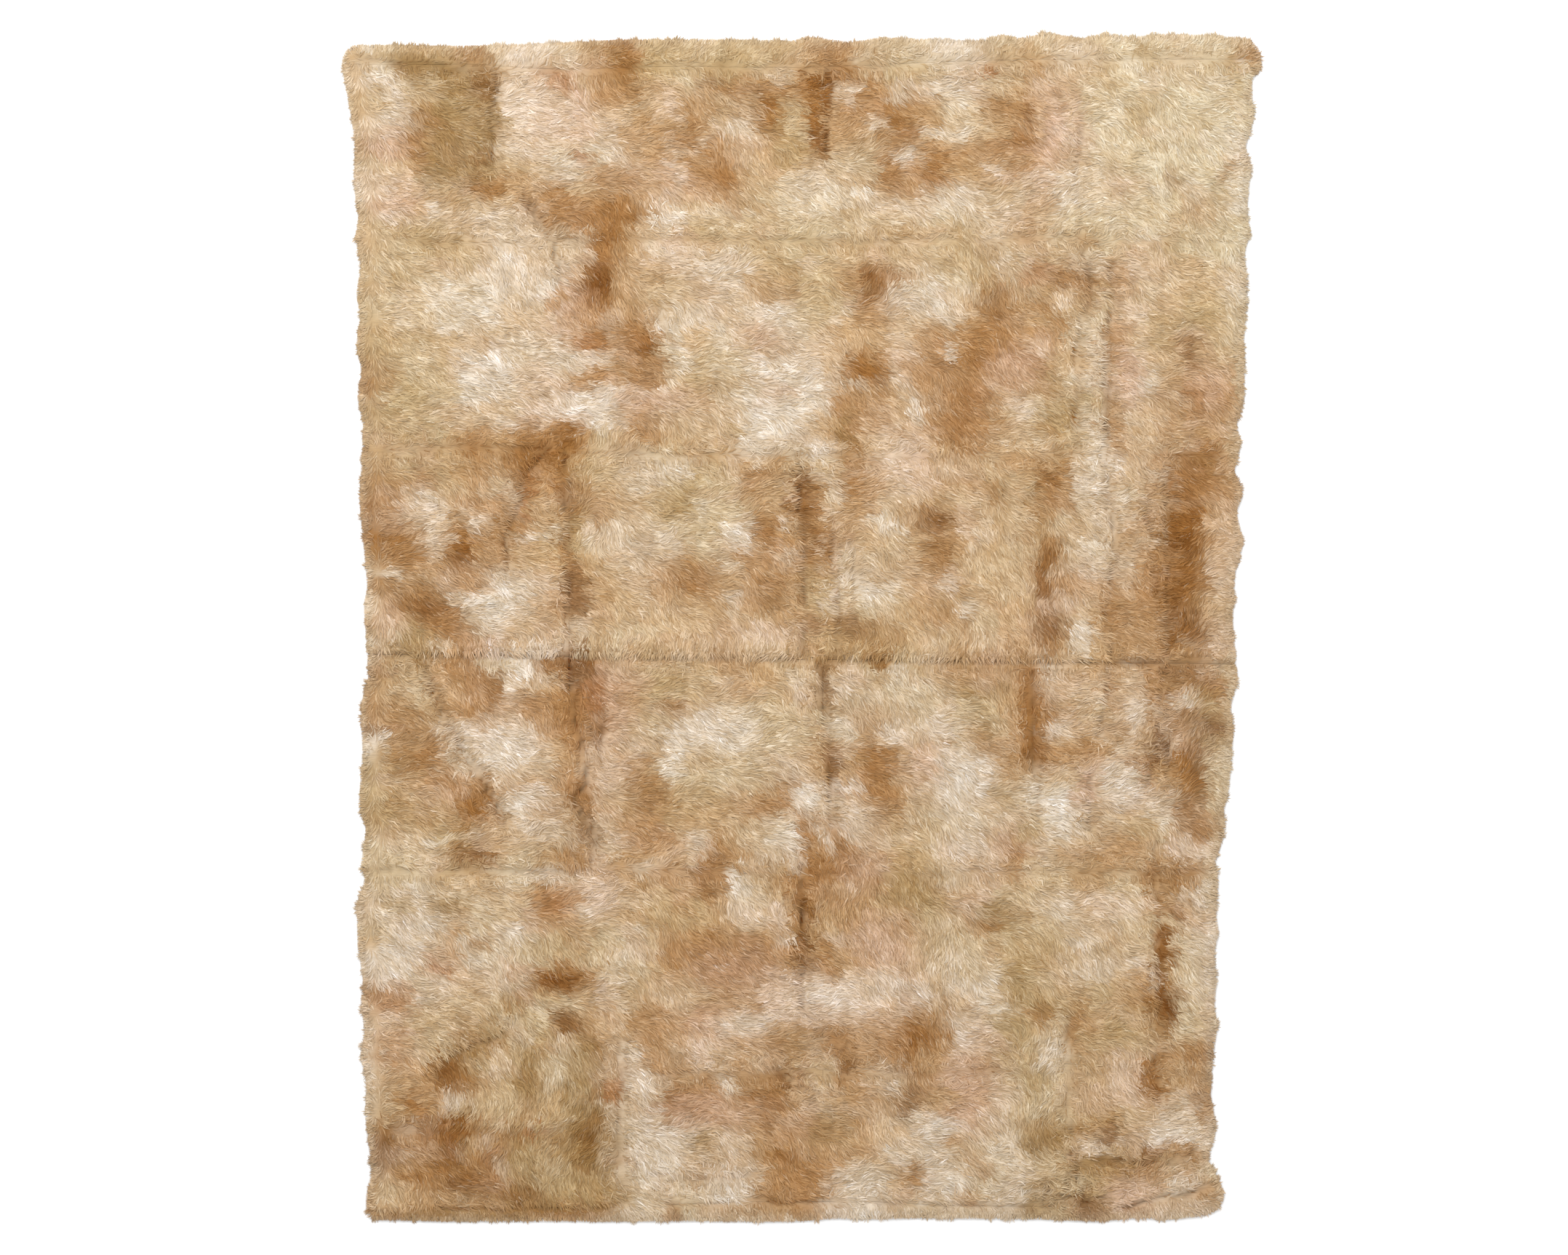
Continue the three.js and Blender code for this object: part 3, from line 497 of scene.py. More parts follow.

# Blotches of dye, read off the throw, in the same terms as the washes
blotches = [
    (-745, 965, 30, 15, "khaki", 60), (-725, 975, 20, 8, "ivory", 60), (-640, 960, 65, 15, "olive", 75),
    (-560, 960, 22, 14, "brown", 75), (-430, 965, 60, 15, "ivory", 62), (-310, 963, 42, 22, "brown", 75),
    (-240, 960, 32, 22, "khaki", 70), (-715, 925, 40, 22, "ivory", 60), (-650, 928, 32, 24, "olive", 80),
    (-600, 925, 50, 24, "olive", 80), (-535, 912, 25, 26, "umber", 65), (-735, 885, 32, 18, "khaki", 75),
    (-690, 888, 30, 14, "cream", 70), (-735, 845, 34, 20, "ivory", 55), (-690, 862, 40, 22, "cream", 60),
    (-700, 820, 42, 26, "rose", 75), (-590, 845, 68, 70, "olive", 85), (-648, 845, 18, 60, "brown", 60),
    (-530, 850, 14, 72, "olive", 70), (-535, 800, 18, 12, "umber", 75), (-605, 772, 55, 26, "olive", 65),
    (-530, 742, 30, 20, "brown", 75), (-655, 785, 18, 22, "brown", 55), (-455, 870, 58, 52, "peach", 75),
    (-480, 805, 40, 18, "cream", 60), (-430, 835, 38, 30, "peach", 60),
    (-402, 915, 32, 20, "rust", 60, -20), (-365, 950, 26, 18, "rose", 60),
    (-350, 855, 36, 50, "peach", 75), (-380, 870, 14, 40, "rose", 55),
    (-375, 792, 12, 18, "rust", 75, 40), (-320, 790, 34, 20, "cream", 80),
    (-315, 897, 34, 13, "brown", 55), (-270, 880, 42, 26, "tan", 70), (-285, 828, 28, 28, "fawn", 55),
    (-230, 882, 16, 20, "peach", 75), (-720, 740, 32, 36, "cream", 45), (-690, 716, 44, 20, "rose", 65),
    (-620, 700, 14, 16, "ivory", 65), (-560, 718, 50, 20, "khaki", 35), (-640, 652, 50, 30, "khaki", 65),
    (-580, 638, 46, 36, "tan", 70), (-620, 610, 40, 12, "fawn", 40), (-480, 675, 88, 34, "cream", 80),
    (-455, 738, 42, 20, "fawn", 65), (-425, 735, 16, 16, "brown", 70),
    (-440, 694, 25, 14, "umber", 70, -35), (-428, 706, 15, 9, "ivory", 75),
    (-395, 690, 32, 20, "brown", 75), (-400, 664, 25, 10, "umber", 55), (-330, 740, 42, 30, "fawn", 70),
    (-315, 692, 46, 26, "brown", 75), (-250, 755, 46, 32, "rose", 60), (-228, 688, 32, 22, "ivory", 90),
    (-328, 640, 28, 27, "brown", 80), (-345, 583, 26, 26, "umber", 85), (-380, 640, 20, 24, "cream", 65),
    (-420, 590, 22, 48, "ivory", 65), (-385, 558, 32, 26, "rose", 70), (-280, 626, 25, 15, "peach", 70),
    (-268, 560, 50, 42, "fawn", 55), (-270, 668, 26, 18, "tan", 70), (-500, 598, 66, 50, "cream", 80),
    (-610, 562, 30, 22, "cream", 70), (-560, 575, 30, 20, "sand", 60), (-680, 592, 50, 30, "khaki", 45),
    (-735, 645, 18, 60, "tan", 45), (-735, 560, 20, 40, "khaki", 55), (-400, 518, 60, 20, "rose", 60),
    (-520, 515, 60, 18, "cream", 55), (-600, 508, 30, 14, "ivory", 50), (-352, 530, 14, 24, "brown", 70),
    (-215, 950, 70, 34, "khaki", 60), (-110, 952, 60, 34, "khaki", 55), (-105, 915, 62, 17, "brown", 70),
    (-20, 905, 36, 12, "brown", 75), (28, 920, 24, 18, "umber", 85), (27, 850, 21, 62, "brown", 90),
    (28, 815, 18, 24, "umber", 65), (72, 952, 26, 30, "fawn", 70), (80, 928, 40, 11, "brown", 70),
    (70, 905, 15, 7, "ivory", 75), (72, 887, 18, 7, "ivory", 60), (88, 850, 36, 46, "fawn", 70),
    (150, 906, 17, 11, "ivory", 75), (160, 955, 60, 26, "khaki", 50), (215, 935, 28, 16, "khaki", 60),
    (240, 902, 52, 14, "ivory", 60), (180, 874, 24, 24, "fawn", 70), (155, 838, 30, 42, "brown", 65),
    (122, 840, 16, 20, "cream", 65), (235, 836, 52, 12, "ivory", 60), (245, 808, 52, 14, "fawn", 65),
    (222, 776, 28, 24, "brown", 85), (165, 790, 11, 11, "ivory", 75), (142, 768, 14, 36, "brown", 70),
    (182, 752, 38, 22, "fawn", 55), (100, 725, 24, 13, "ivory", 85), (190, 735, 12, 14, "cream", 70),
    (252, 722, 52, 20, "cream", 80), (150, 706, 42, 10, "cream", 60), (60, 770, 50, 46, "sand", 60),
    (20, 730, 60, 36, "cream", 65), (-38, 840, 30, 46, "khaki", 75), (-58, 866, 22, 32, "brown", 65, 20),
    (-20, 870, 15, 26, "sand", 70), (-105, 850, 26, 22, "cream", 55), (-183, 878, 34, 30, "brown", 65),
    (-200, 830, 22, 26, "brown", 75), (-145, 832, 46, 9, "ivory", 80, 30),
    (-140, 816, 36, 14, "fawn", 80, 10), (-152, 772, 50, 32, "fawn", 80),
    (-132, 768, 22, 30, "brown", 70), (-220, 780, 12, 50, "cream", 60), (-266, 770, 24, 48, "tan", 70),
    (-258, 710, 28, 10, "fawn", 65), (-115, 712, 14, 16, "brown", 60), (-90, 752, 26, 30, "sand", 50),
    (-168, 666, 26, 12, "khaki", 75), (-160, 640, 16, 20, "tan", 60), (-210, 620, 30, 32, "peach", 60),
    (-150, 600, 46, 34, "cream", 60), (-185, 574, 42, 16, "fawn", 50), (-205, 530, 50, 18, "cream", 80),
    (-40, 640, 72, 46, "khaki", 40), (-65, 580, 40, 22, "fawn", 55), (30, 566, 30, 36, "khaki", 60),
    (-60, 540, 34, 20, "cream", 55), (110, 662, 42, 18, "khaki", 55), (115, 570, 34, 34, "brown", 90),
    (112, 572, 22, 24, "umber", 75), (160, 595, 34, 12, "brown", 60, 20), (110, 528, 36, 24, "fawn", 60),
    (190, 578, 32, 22, "cream", 65), (236, 530, 26, 20, "ivory", 60), (165, 540, 26, 20, "cream", 50),
    (240, 630, 42, 26, "khaki", 40), (262, 965, 38, 24, "ivory", 75), (318, 938, 24, 10, "rust", 80, 25),
    (382, 938, 20, 16, "fawn", 75), (578, 972, 20, 16, "khaki", 80), (650, 950, 60, 28, "sand", 60),
    (760, 965, 19, 22, "fawn", 75), (718, 930, 10, 34, "khaki", 65), (736, 950, 10, 14, "ivory", 60),
    (328, 872, 40, 28, "fawn", 70), (322, 874, 22, 14, "brown", 50), (374, 860, 8, 24, "umber", 75, 10),
    (372, 832, 20, 11, "brown", 80), (350, 820, 28, 10, "brown", 65, 10), (250, 872, 30, 28, "sand", 55),
    (300, 780, 70, 28, "fawn", 50), (320, 772, 15, 15, "cream", 70), (425, 840, 42, 54, "rose", 70),
    (500, 860, 50, 40, "sand", 60), (560, 855, 13, 34, "khaki", 75), (630, 758, 13, 20, "olive", 60),
    (705, 772, 7, 18, "brown", 75, -10), (735, 722, 20, 22, "ivory", 75), (682, 680, 30, 24, "fawn", 80),
    (438, 728, 18, 26, "ivory", 65), (335, 722, 40, 28, "khaki", 72), (392, 664, 26, 18, "fawn", 65, 20),
    (430, 682, 12, 30, "ivory", 55), (470, 648, 26, 14, "fawn", 60), (398, 605, 22, 18, "rust", 65),
    (455, 592, 28, 28, "brown", 75), (440, 560, 13, 14, "ivory", 65), (482, 560, 10, 40, "brown", 50),
    (530, 578, 16, 32, "fawn", 75), (660, 580, 55, 38, "tan", 70), (680, 535, 36, 30, "khaki", 70),
    (320, 545, 36, 30, "brown", 70), (240, 528, 20, 16, "ivory", 60), (625, 636, 26, 36, "khaki", 60),
    (400, 545, 22, 20, "brown", 60), (722, 600, 28, 60, "cream", 55), (645, 850, 85, 75, "sand", 55),
    (722, 832, 28, 24, "ivory", 50), (560, 690, 46, 40, "sand", 50), (-725, 480, 22, 40, "khaki", 60),
    (-718, 426, 26, 26, "brown", 65), (-675, 440, 48, 50, "khaki", 60), (-570, 490, 42, 22, "tan", 55),
    (-542, 430, 36, 38, "ivory", 90), (-540, 388, 30, 16, "ivory", 70), (-470, 440, 48, 40, "cream", 40),
    (-430, 492, 50, 26, "peach", 50), (-370, 484, 30, 16, "rust", 60), (-280, 480, 38, 42, "brown", 85),
    (-265, 475, 16, 26, "umber", 60), (-380, 455, 42, 14, "ivory", 70), (-372, 425, 26, 20, "fawn", 80),
    (-300, 430, 46, 20, "fawn", 80), (-270, 420, 26, 12, "brown", 45), (-370, 378, 62, 28, "ivory", 85),
    (-345, 345, 30, 20, "ivory", 80), (-268, 372, 42, 30, "rose", 70), (-255, 340, 44, 26, "fawn", 75),
    (-422, 368, 28, 30, "peach", 50), (-510, 342, 30, 16, "cream", 55), (-560, 320, 42, 24, "fawn", 70),
    (-545, 305, 26, 14, "brown", 55), (-468, 308, 38, 38, "brown", 80), (-385, 320, 30, 28, "brown", 85),
    (-430, 338, 16, 8, "cream", 60), (-680, 370, 44, 32, "khaki", 70), (-640, 246, 24, 15, "brown", 65),
    (-550, 268, 38, 24, "fawn", 70), (-424, 258, 28, 42, "fawn", 80), (-402, 245, 9, 56, "brown", 75),
    (-366, 256, 32, 36, "khaki", 65), (-350, 210, 36, 28, "fawn", 70), (-262, 254, 52, 38, "cream", 80),
    (-220, 215, 28, 26, "khaki", 80), (-252, 142, 50, 32, "cream", 75), (-375, 145, 18, 48, "khaki", 75),
    (-385, 62, 18, 44, "umber", 75), (-400, 110, 12, 30, "brown", 50), (-485, 225, 18, 30, "cream", 65),
    (-466, 226, 10, 36, "rust", 80, -18), (-440, 190, 32, 28, "tan", 75),
    (-450, 156, 42, 11, "cream", 75), (-440, 124, 60, 22, "tan", 60), (-556, 190, 24, 22, "cream", 70),
    (-568, 146, 36, 38, "brown", 80), (-575, 120, 22, 20, "umber", 45), (-520, 150, 18, 52, "fawn", 60),
    (-640, 190, 30, 58, "cream", 55), (-618, 140, 16, 16, "cream", 60), (-690, 140, 42, 38, "brown", 80),
    (-640, 108, 60, 12, "fawn", 70), (-712, 76, 24, 14, "brown", 65), (-700, 94, 30, 8, "cream", 65),
    (-655, 60, 48, 30, "brown", 70), (-742, 45, 14, 20, "ivory", 60),
    (-622, 26, 36, 22, "umber", 65, -35), (-700, 22, 30, 26, "rose", 60), (-535, 68, 66, 26, "ivory", 80),
    (-525, 26, 46, 22, "ivory", 78), (-440, 32, 46, 28, "fawn", 80), (-592, 6, 38, 20, "brown", 70, -35),
    (-545, 98, 34, 8, "brown", 55), (-330, 62, 36, 46, "tan", 60), (-240, 82, 46, 34, "fawn", 70),
    (-250, 20, 50, 22, "tan", 50), (-216, 462, 26, 24, "ivory", 85), (-222, 506, 26, 12, "ivory", 75),
    (-182, 490, 20, 18, "tan", 65), (-132, 492, 20, 20, "cream", 60), (-84, 494, 26, 30, "rose", 65),
    (-150, 430, 60, 28, "khaki", 45), (-12, 430, 68, 36, "cream", 85), (-30, 500, 32, 20, "cream", 55),
    (20, 384, 32, 20, "ivory", 65), (-42, 392, 26, 14, "rose", 60), (-60, 346, 66, 40, "ivory", 90),
    (-30, 298, 60, 14, "cream", 80), (-124, 335, 20, 15, "khaki", 80), (-220, 370, 58, 32, "rose", 60),
    (-262, 330, 28, 22, "brown", 55), (-165, 338, 40, 20, "fawn", 50), (22, 338, 26, 18, "tan", 75),
    (30, 302, 30, 20, "cream", 70), (62, 340, 14, 62, "olive", 75), (102, 436, 34, 21, "brown", 90),
    (72, 404, 22, 8, "cream", 75), (100, 366, 30, 26, "fawn", 80), (110, 500, 42, 22, "tan", 65),
    (180, 388, 46, 10, "ivory", 80, -52), (165, 440, 16, 30, "peach", 60), (232, 442, 48, 56, "fawn", 75),
    (246, 466, 6, 22, "ivory", 80), (260, 372, 42, 58, "fawn", 75), (262, 372, 30, 40, "brown", 45),
    (132, 350, 40, 28, "peach", 55), (172, 320, 50, 30, "rose", 45), (-205, 272, 32, 12, "ivory", 60),
    (-176, 240, 40, 22, "khaki", 75, 10), (-222, 194, 30, 20, "olive", 50),
    (-90, 240, 28, 30, "fawn", 70), (-58, 260, 40, 20, "fawn", 65), (-10, 242, 13, 34, "umber", 80),
    (16, 214, 18, 28, "brown", 80), (6, 182, 14, 30, "umber", 70), (28, 138, 28, 38, "brown", 85),
    (20, 150, 18, 20, "umber", 45), (-62, 180, 18, 24, "brown", 70, -25),
    (-25, 182, 20, 12, "cream", 65, -35), (-112, 156, 26, 20, "ivory", 90),
    (-30, 122, 14, 20, "cream", 60), (-65, 125, 42, 44, "fawn", 65), (-55, 62, 52, 30, "brown", 50),
    (-186, 76, 22, 26, "brown", 75, 30), (-130, 102, 22, 8, "ivory", 65), (-120, 60, 16, 14, "cream", 55),
    (76, 240, 16, 28, "brown", 75), (50, 230, 13, 20, "cream", 38), (82, 280, 22, 12, "brown", 50),
    (150, 270, 58, 24, "peach", 60), (232, 258, 30, 20, "peach", 60), (146, 174, 18, 16, "ivory", 95),
    (112, 180, 36, 8, "ivory", 75), (60, 90, 9, 58, "peach", 75), (140, 114, 16, 12, "olive", 45),
    (226, 180, 22, 13, "umber", 80), (226, 132, 24, 34, "brown", 75), (182, 132, 26, 46, "fawn", 55),
    (264, 178, 15, 22, "peach", 65), (115, 70, 40, 16, "cream", 75), (242, 80, 14, 14, "cream", 60),
    (266, 38, 14, 10, "ivory", 75), (50, 40, 10, 22, "ivory", 45), (25, 58, 20, 36, "khaki", 70),
    (18, 8, 32, 13, "brown", 65), (80, 4, 32, 17, "umber", 70), (222, 28, 32, 18, "fawn", 65),
    (312, 490, 38, 30, "fawn", 60), (292, 472, 20, 28, "brown", 55), (392, 470, 24, 18, "peach", 80),
    (340, 440, 42, 38, "rose", 75), (414, 432, 12, 34, "olive", 60), (380, 395, 22, 6, "brown", 60, 10),
    (428, 500, 8, 32, "brown", 55), (482, 450, 22, 60, "cream", 66), (482, 380, 20, 16, "khaki", 80),
    (486, 332, 30, 28, "cream", 75), (430, 350, 26, 38, "khaki", 80), (370, 364, 36, 24, "cream", 80),
    (380, 320, 44, 18, "sand", 60), (518, 480, 8, 40, "fawn", 65), (550, 436, 28, 48, "rose", 65),
    (532, 492, 20, 20, "fawn", 70), (570, 478, 22, 22, "khaki", 50), (576, 420, 18, 26, "ivory", 75),
    (572, 338, 24, 28, "ivory", 75), (528, 330, 14, 26, "brown", 60), (612, 340, 10, 32, "fawn", 60),
    (645, 462, 8, 22, "umber", 75), (648, 385, 18, 24, "brown", 65), (672, 410, 36, 38, "rose", 65),
    (736, 340, 8, 14, "ivory", 60), (660, 272, 42, 26, "brown", 75), (640, 120, 23, 128, "brown", 85),
    (640, 135, 16, 30, "umber", 60), (635, 60, 16, 40, "umber", 50), (650, 220, 40, 32, "brown", 65),
    (702, 230, 36, 20, "fawn", 70), (708, 120, 36, 80, "peach", 60), (690, 160, 20, 60, "tan", 45),
    (585, 258, 28, 18, "cream", 45), (552, 166, 26, 16, "fawn", 65), (488, 250, 30, 34, "cream", 85),
    (530, 282, 20, 14, "ivory", 75), (500, 172, 24, 50, "cream", 65), (428, 240, 28, 36, "fawn", 80),
    (402, 252, 10, 20, "umber", 65), (448, 212, 10, 20, "brown", 60), (370, 276, 42, 14, "fawn", 65),
    (322, 238, 28, 18, "brown", 55), (422, 188, 20, 18, "sand", 60), (412, 110, 17, 46, "brown", 85),
    (432, 56, 30, 36, "peach", 70), (415, 8, 20, 26, "umber", 70), (330, 100, 60, 50, "sand", 45),
    (482, 97, 20, 13, "ivory", 80), (515, 28, 10, 26, "brown", 70, 10), (535, 95, 18, 30, "cream", 55),
    (585, 100, 24, 42, "fawn", 65), (562, 20, 50, 30, "fawn", 70), (300, 30, 30, 20, "sand", 50),
    (470, 5, 20, 20, "ivory", 55), (-722, -122, 22, 40, "tan", 75), (-672, -138, 42, 46, "brown", 50),
    (-660, -62, 24, 26, "olive", 70), (-650, -2, 40, 28, "khaki", 65), (-620, -28, 22, 12, "cream", 65),
    (-698, -12, 22, 12, "ivory", 60), (-640, -112, 14, 30, "sand", 60),
    (-718, -176, 22, 7, "umber", 65, 10), (-724, -202, 20, 24, "ivory", 85),
    (-655, -205, 44, 32, "brown", 65), (-568, -82, 36, 50, "fawn", 70),
    (-532, -92, 14, 40, "brown", 75, 10), (-575, -65, 22, 20, "brown", 45),
    (-540, -20, 46, 18, "rose", 60), (-488, -62, 38, 42, "ivory", 85), (-432, -28, 26, 18, "cream", 65),
    (-440, -82, 14, 12, "ivory", 65), (-422, -66, 30, 20, "brown", 80), (-452, -122, 58, 36, "fawn", 80),
    (-440, -115, 36, 20, "brown", 40), (-378, -72, 26, 28, "umber", 75), (-350, -100, 18, 40, "rust", 60),
    (-345, -170, 12, 20, "umber", 65, -20), (-305, -118, 32, 60, "rose", 75),
    (-300, -120, 20, 30, "fawn", 45), (-396, -215, 24, 78, "fawn", 85), (-390, -170, 16, 30, "brown", 50),
    (-505, -202, 64, 44, "ivory", 68), (-462, -255, 52, 9, "fawn", 75, 5),
    (-468, -292, 34, 26, "ivory", 66), (-545, -302, 40, 36, "brown", 75),
    (-600, -262, 38, 28, "rose", 55), (-665, -285, 52, 50, "fawn", 45), (-730, -300, 24, 60, "khaki", 60),
    (-620, -365, 20, 8, "ivory", 60), (-660, -370, 50, 24, "sand", 60), (-558, -386, 38, 14, "umber", 60),
    (-500, -350, 42, 26, "tan", 60), (-422, -300, 18, 26, "cream", 60), (-445, -342, 32, 18, "cream", 55),
    (-376, -286, 24, 24, "brown", 80, -30), (-362, -340, 16, 26, "umber", 60, 30),
    (-400, -378, 40, 20, "brown", 65), (-330, -350, 20, 28, "cream", 55),
    (-340, -232, 28, 50, "peach", 70), (-250, -115, 46, 40, "khaki", 50),
    (-222, -200, 20, 38, "cream", 60), (-300, -335, 40, 30, "fawn", 55),
    (-270, -405, 25, 10, "ivory", 55), (-302, -422, 48, 28, "fawn", 50),
    (-450, -418, 58, 12, "ivory", 65), (-640, -440, 60, 14, "ivory", 42),
    (-692, -462, 24, 20, "khaki", 65), (-614, -460, 22, 20, "olive", 75),
    (-420, -464, 42, 32, "fawn", 85), (-415, -470, 22, 20, "rust", 40), (-350, -440, 28, 30, "peach", 70),
    (-370, -480, 20, 12, "cream", 65), (-540, -468, 48, 28, "sand", 60), (-292, -480, 40, 20, "tan", 60),
    (-100, -20, 100, 26, "peach", 45), (130, -8, 42, 20, "brown", 50), (132, -50, 20, 15, "brown", 65),
    (-215, -90, 36, 24, "khaki", 65), (-225, -136, 26, 15, "brown", 65), (-110, -105, 32, 20, "fawn", 65),
    (-160, -176, 70, 28, "cream", 90), (-60, -172, 24, 38, "khaki", 45),
    (-220, -224, 14, 30, "ivory", 75), (-160, -222, 50, 18, "tan", 50), (-258, -282, 34, 32, "brown", 70),
    (-62, -275, 44, 44, "fawn", 80), (-62, -275, 26, 30, "brown", 50), (-4, -284, 25, 22, "ivory", 85),
    (-30, -232, 32, 20, "cream", 65), (38, -78, 9, 32, "umber", 80), (38, -150, 8, 20, "umber", 40),
    (43, -222, 9, 32, "umber", 75), (75, -80, 24, 22, "peach", 80), (162, -70, 18, 8, "ivory", 80, 20),
    (190, -122, 46, 36, "sand", 60), (142, -178, 24, 20, "ivory", 80), (124, -212, 24, 44, "brown", 85),
    (136, -282, 30, 42, "fawn", 80), (140, -280, 18, 26, "brown", 55), (62, -260, 32, 10, "ivory", 70),
    (85, -330, 32, 20, "cream", 75), (14, -332, 15, 22, "brown", 70), (30, -338, 28, 7, "ivory", 80, -48),
    (202, -235, 38, 48, "rose", 75), (270, -245, 36, 46, "cream", 85), (205, -320, 50, 26, "khaki", 45),
    (272, -345, 25, 30, "cream", 50), (-35, -345, 38, 18, "ivory", 90), (-62, -380, 20, 18, "cream", 60),
    (-14, -378, 12, 26, "ivory", 75, 20), (-105, -370, 26, 30, "fawn", 60),
    (-186, -368, 18, 30, "cream", 75), (-242, -362, 38, 30, "fawn", 60),
    (-148, -395, 28, 44, "brown", 65), (-155, -432, 24, 14, "umber", 55),
    (-108, -424, 18, 14, "ivory", 85), (30, -402, 40, 42, "fawn", 85), (35, -395, 26, 30, "brown", 45),
    (0, -462, 13, 32, "umber", 80), (72, -370, 30, 20, "brown", 60), (-205, -420, 34, 26, "fawn", 55),
    (-190, -474, 58, 22, "khaki", 65), (100, -402, 40, 30, "rose", 65), (184, -440, 50, 24, "olive", 60),
    (245, -425, 18, 14, "ivory", 60), (-82, -476, 46, 18, "peach", 55), (60, -460, 34, 30, "fawn", 38),
    (460, -15, 18, 32, "ivory", 80), (560, -25, 48, 38, "fawn", 60), (642, -10, 26, 30, "umber", 65),
    (702, -28, 36, 40, "peach", 60), (640, -78, 26, 16, "umber", 85), (688, -100, 20, 20, "brown", 60),
    (635, -126, 17, 14, "ivory", 80), (672, -132, 24, 20, "khaki", 70), (682, -165, 22, 18, "umber", 70),
    (722, -140, 16, 60, "tan", 65), (622, -178, 28, 34, "peach", 70),
    (595, -205, 8, 40, "umber", 85, -12), (638, -235, 26, 40, "brown", 85),
    (670, -240, 18, 22, "umber", 45), (640, -285, 28, 16, "brown", 60), (720, -250, 18, 60, "sand", 60),
    (658, -330, 36, 20, "brown", 80, -15), (555, -118, 17, 52, "ivory", 75),
    (578, -98, 18, 28, "fawn", 65), (515, -118, 6, 26, "brown", 75, -15), (415, -64, 14, 9, "ivory", 65),
    (385, -135, 20, 62, "brown", 76), (384, -215, 20, 22, "umber", 65), (290, -105, 44, 16, "olive", 65),
    (268, -78, 26, 22, "fawn", 60), (300, -152, 22, 18, "olive", 50), (322, -190, 36, 24, "fawn", 60),
    (228, -162, 20, 18, "ivory", 65), (262, -248, 40, 42, "cream", 85), (350, -262, 13, 30, "brown", 70),
    (422, -175, 20, 13, "ivory", 70), (455, -205, 46, 20, "fawn", 80), (380, -275, 20, 34, "cream", 85),
    (430, -300, 26, 38, "ivory", 80), (428, -250, 24, 12, "tan", 65), (474, -270, 20, 30, "rose", 70),
    (538, -258, 38, 40, "cream", 90), (578, -250, 12, 14, "rust", 55), (600, -302, 24, 30, "cream", 75),
    (552, -328, 20, 16, "khaki", 65), (492, -330, 12, 22, "fawn", 60), (528, -372, 30, 26, "fawn", 80),
    (450, -380, 30, 26, "fawn", 55), (382, -332, 32, 14, "khaki", 75, 15),
    (260, -352, 34, 26, "peach", 50), (420, -415, 40, 26, "sand", 55), (350, -374, 12, 18, "brown", 55),
    (592, -378, 9, 24, "brown", 75), (602, -440, 16, 48, "brown", 60), (642, -412, 34, 24, "brown", 75),
    (664, -445, 26, 18, "cream", 65), (618, -486, 17, 15, "umber", 75), (650, -370, 32, 16, "peach", 65),
    (512, -466, 66, 24, "peach", 75), (430, -478, 30, 20, "cream", 65), (326, -476, 26, 22, "olive", 75),
    (270, -458, 34, 28, "rose", 60), (690, -420, 20, 50, "sand", 50), (-718, -518, 28, 22, "khaki", 75),
    (-702, -562, 42, 26, "ivory", 75), (-597, -512, 9, 26, "fawn", 65),
    (-545, -522, 20, 9, "brown", 65, 30), (-490, -516, 26, 14, "ivory", 60),
    (-530, -540, 34, 14, "khaki", 45), (-620, -572, 18, 16, "rust", 60),
    (-430, -532, 46, 24, "khaki", 55), (-380, -522, 20, 18, "fawn", 60),
    (-402, -582, 44, 24, "brown", 85), (-422, -588, 26, 14, "umber", 70),
    (-482, -630, 40, 13, "brown", 75, 35), (-412, -630, 30, 20, "sand", 75),
    (-328, -640, 22, 40, "peach", 65), (-690, -620, 34, 20, "rust", 55),
    (-585, -650, 18, 10, "olive", 60), (-404, -656, 24, 11, "umber", 75),
    (-370, -682, 32, 12, "umber", 80, -32), (-430, -690, 28, 18, "fawn", 55),
    (-482, -668, 24, 20, "cream", 65), (-700, -690, 24, 14, "fawn", 60),
    (-545, -702, 54, 9, "olive", 75, 22), (-600, -742, 22, 22, "umber", 75),
    (-560, -756, 40, 20, "brown", 65), (-530, -730, 36, 16, "sand", 45),
    (-465, -745, 22, 46, "olive", 75), (-420, -730, 24, 22, "sand", 65),
    (-376, -762, 26, 26, "olive", 75), (-330, -772, 20, 18, "rust", 65),
    (-292, -718, 20, 13, "ivory", 70), (-262, -665, 42, 42, "fawn", 75),
    (-730, -760, 18, 56, "cream", 60), (-652, -792, 24, 14, "brown", 75),
    (-590, -790, 26, 18, "ivory", 70, 30), (-535, -792, 36, 34, "sand", 50),
    (-585, -838, 62, 20, "brown", 75, -10), (-668, -840, 22, 10, "ivory", 60, 20),
    (-706, -872, 18, 36, "umber", 75), (-655, -872, 30, 18, "rose", 50),
    (-562, -880, 20, 28, "khaki", 55), (-540, -858, 12, 18, "cream", 55),
    (-522, -878, 24, 14, "rust", 55, 20), (-510, -896, 12, 20, "ivory", 75),
    (-455, -846, 46, 12, "rust", 55), (-450, -905, 52, 50, "khaki", 50),
    (-366, -858, 42, 40, "olive", 75), (-345, -850, 20, 22, "umber", 45),
    (-310, -800, 14, 20, "cream", 55), (-640, -916, 46, 14, "brown", 70, 10),
    (-578, -935, 25, 14, "umber", 60), (-690, -940, 30, 20, "sand", 65),
    (-478, -950, 28, 16, "umber", 65), (-600, -958, 60, 14, "tan", 55), (-380, -942, 58, 28, "khaki", 60),
    (-330, -900, 22, 38, "olive", 55), (-252, -862, 50, 62, "cream", 90),
    (-228, -805, 24, 26, "brown", 80), (-560, -990, 160, 12, "olive", 80),
    (-690, -992, 28, 8, "umber", 65), (-298, -985, 24, 10, "cream", 65),
    (-215, -986, 17, 12, "brown", 85), (-268, -760, 34, 20, "cream", 70),
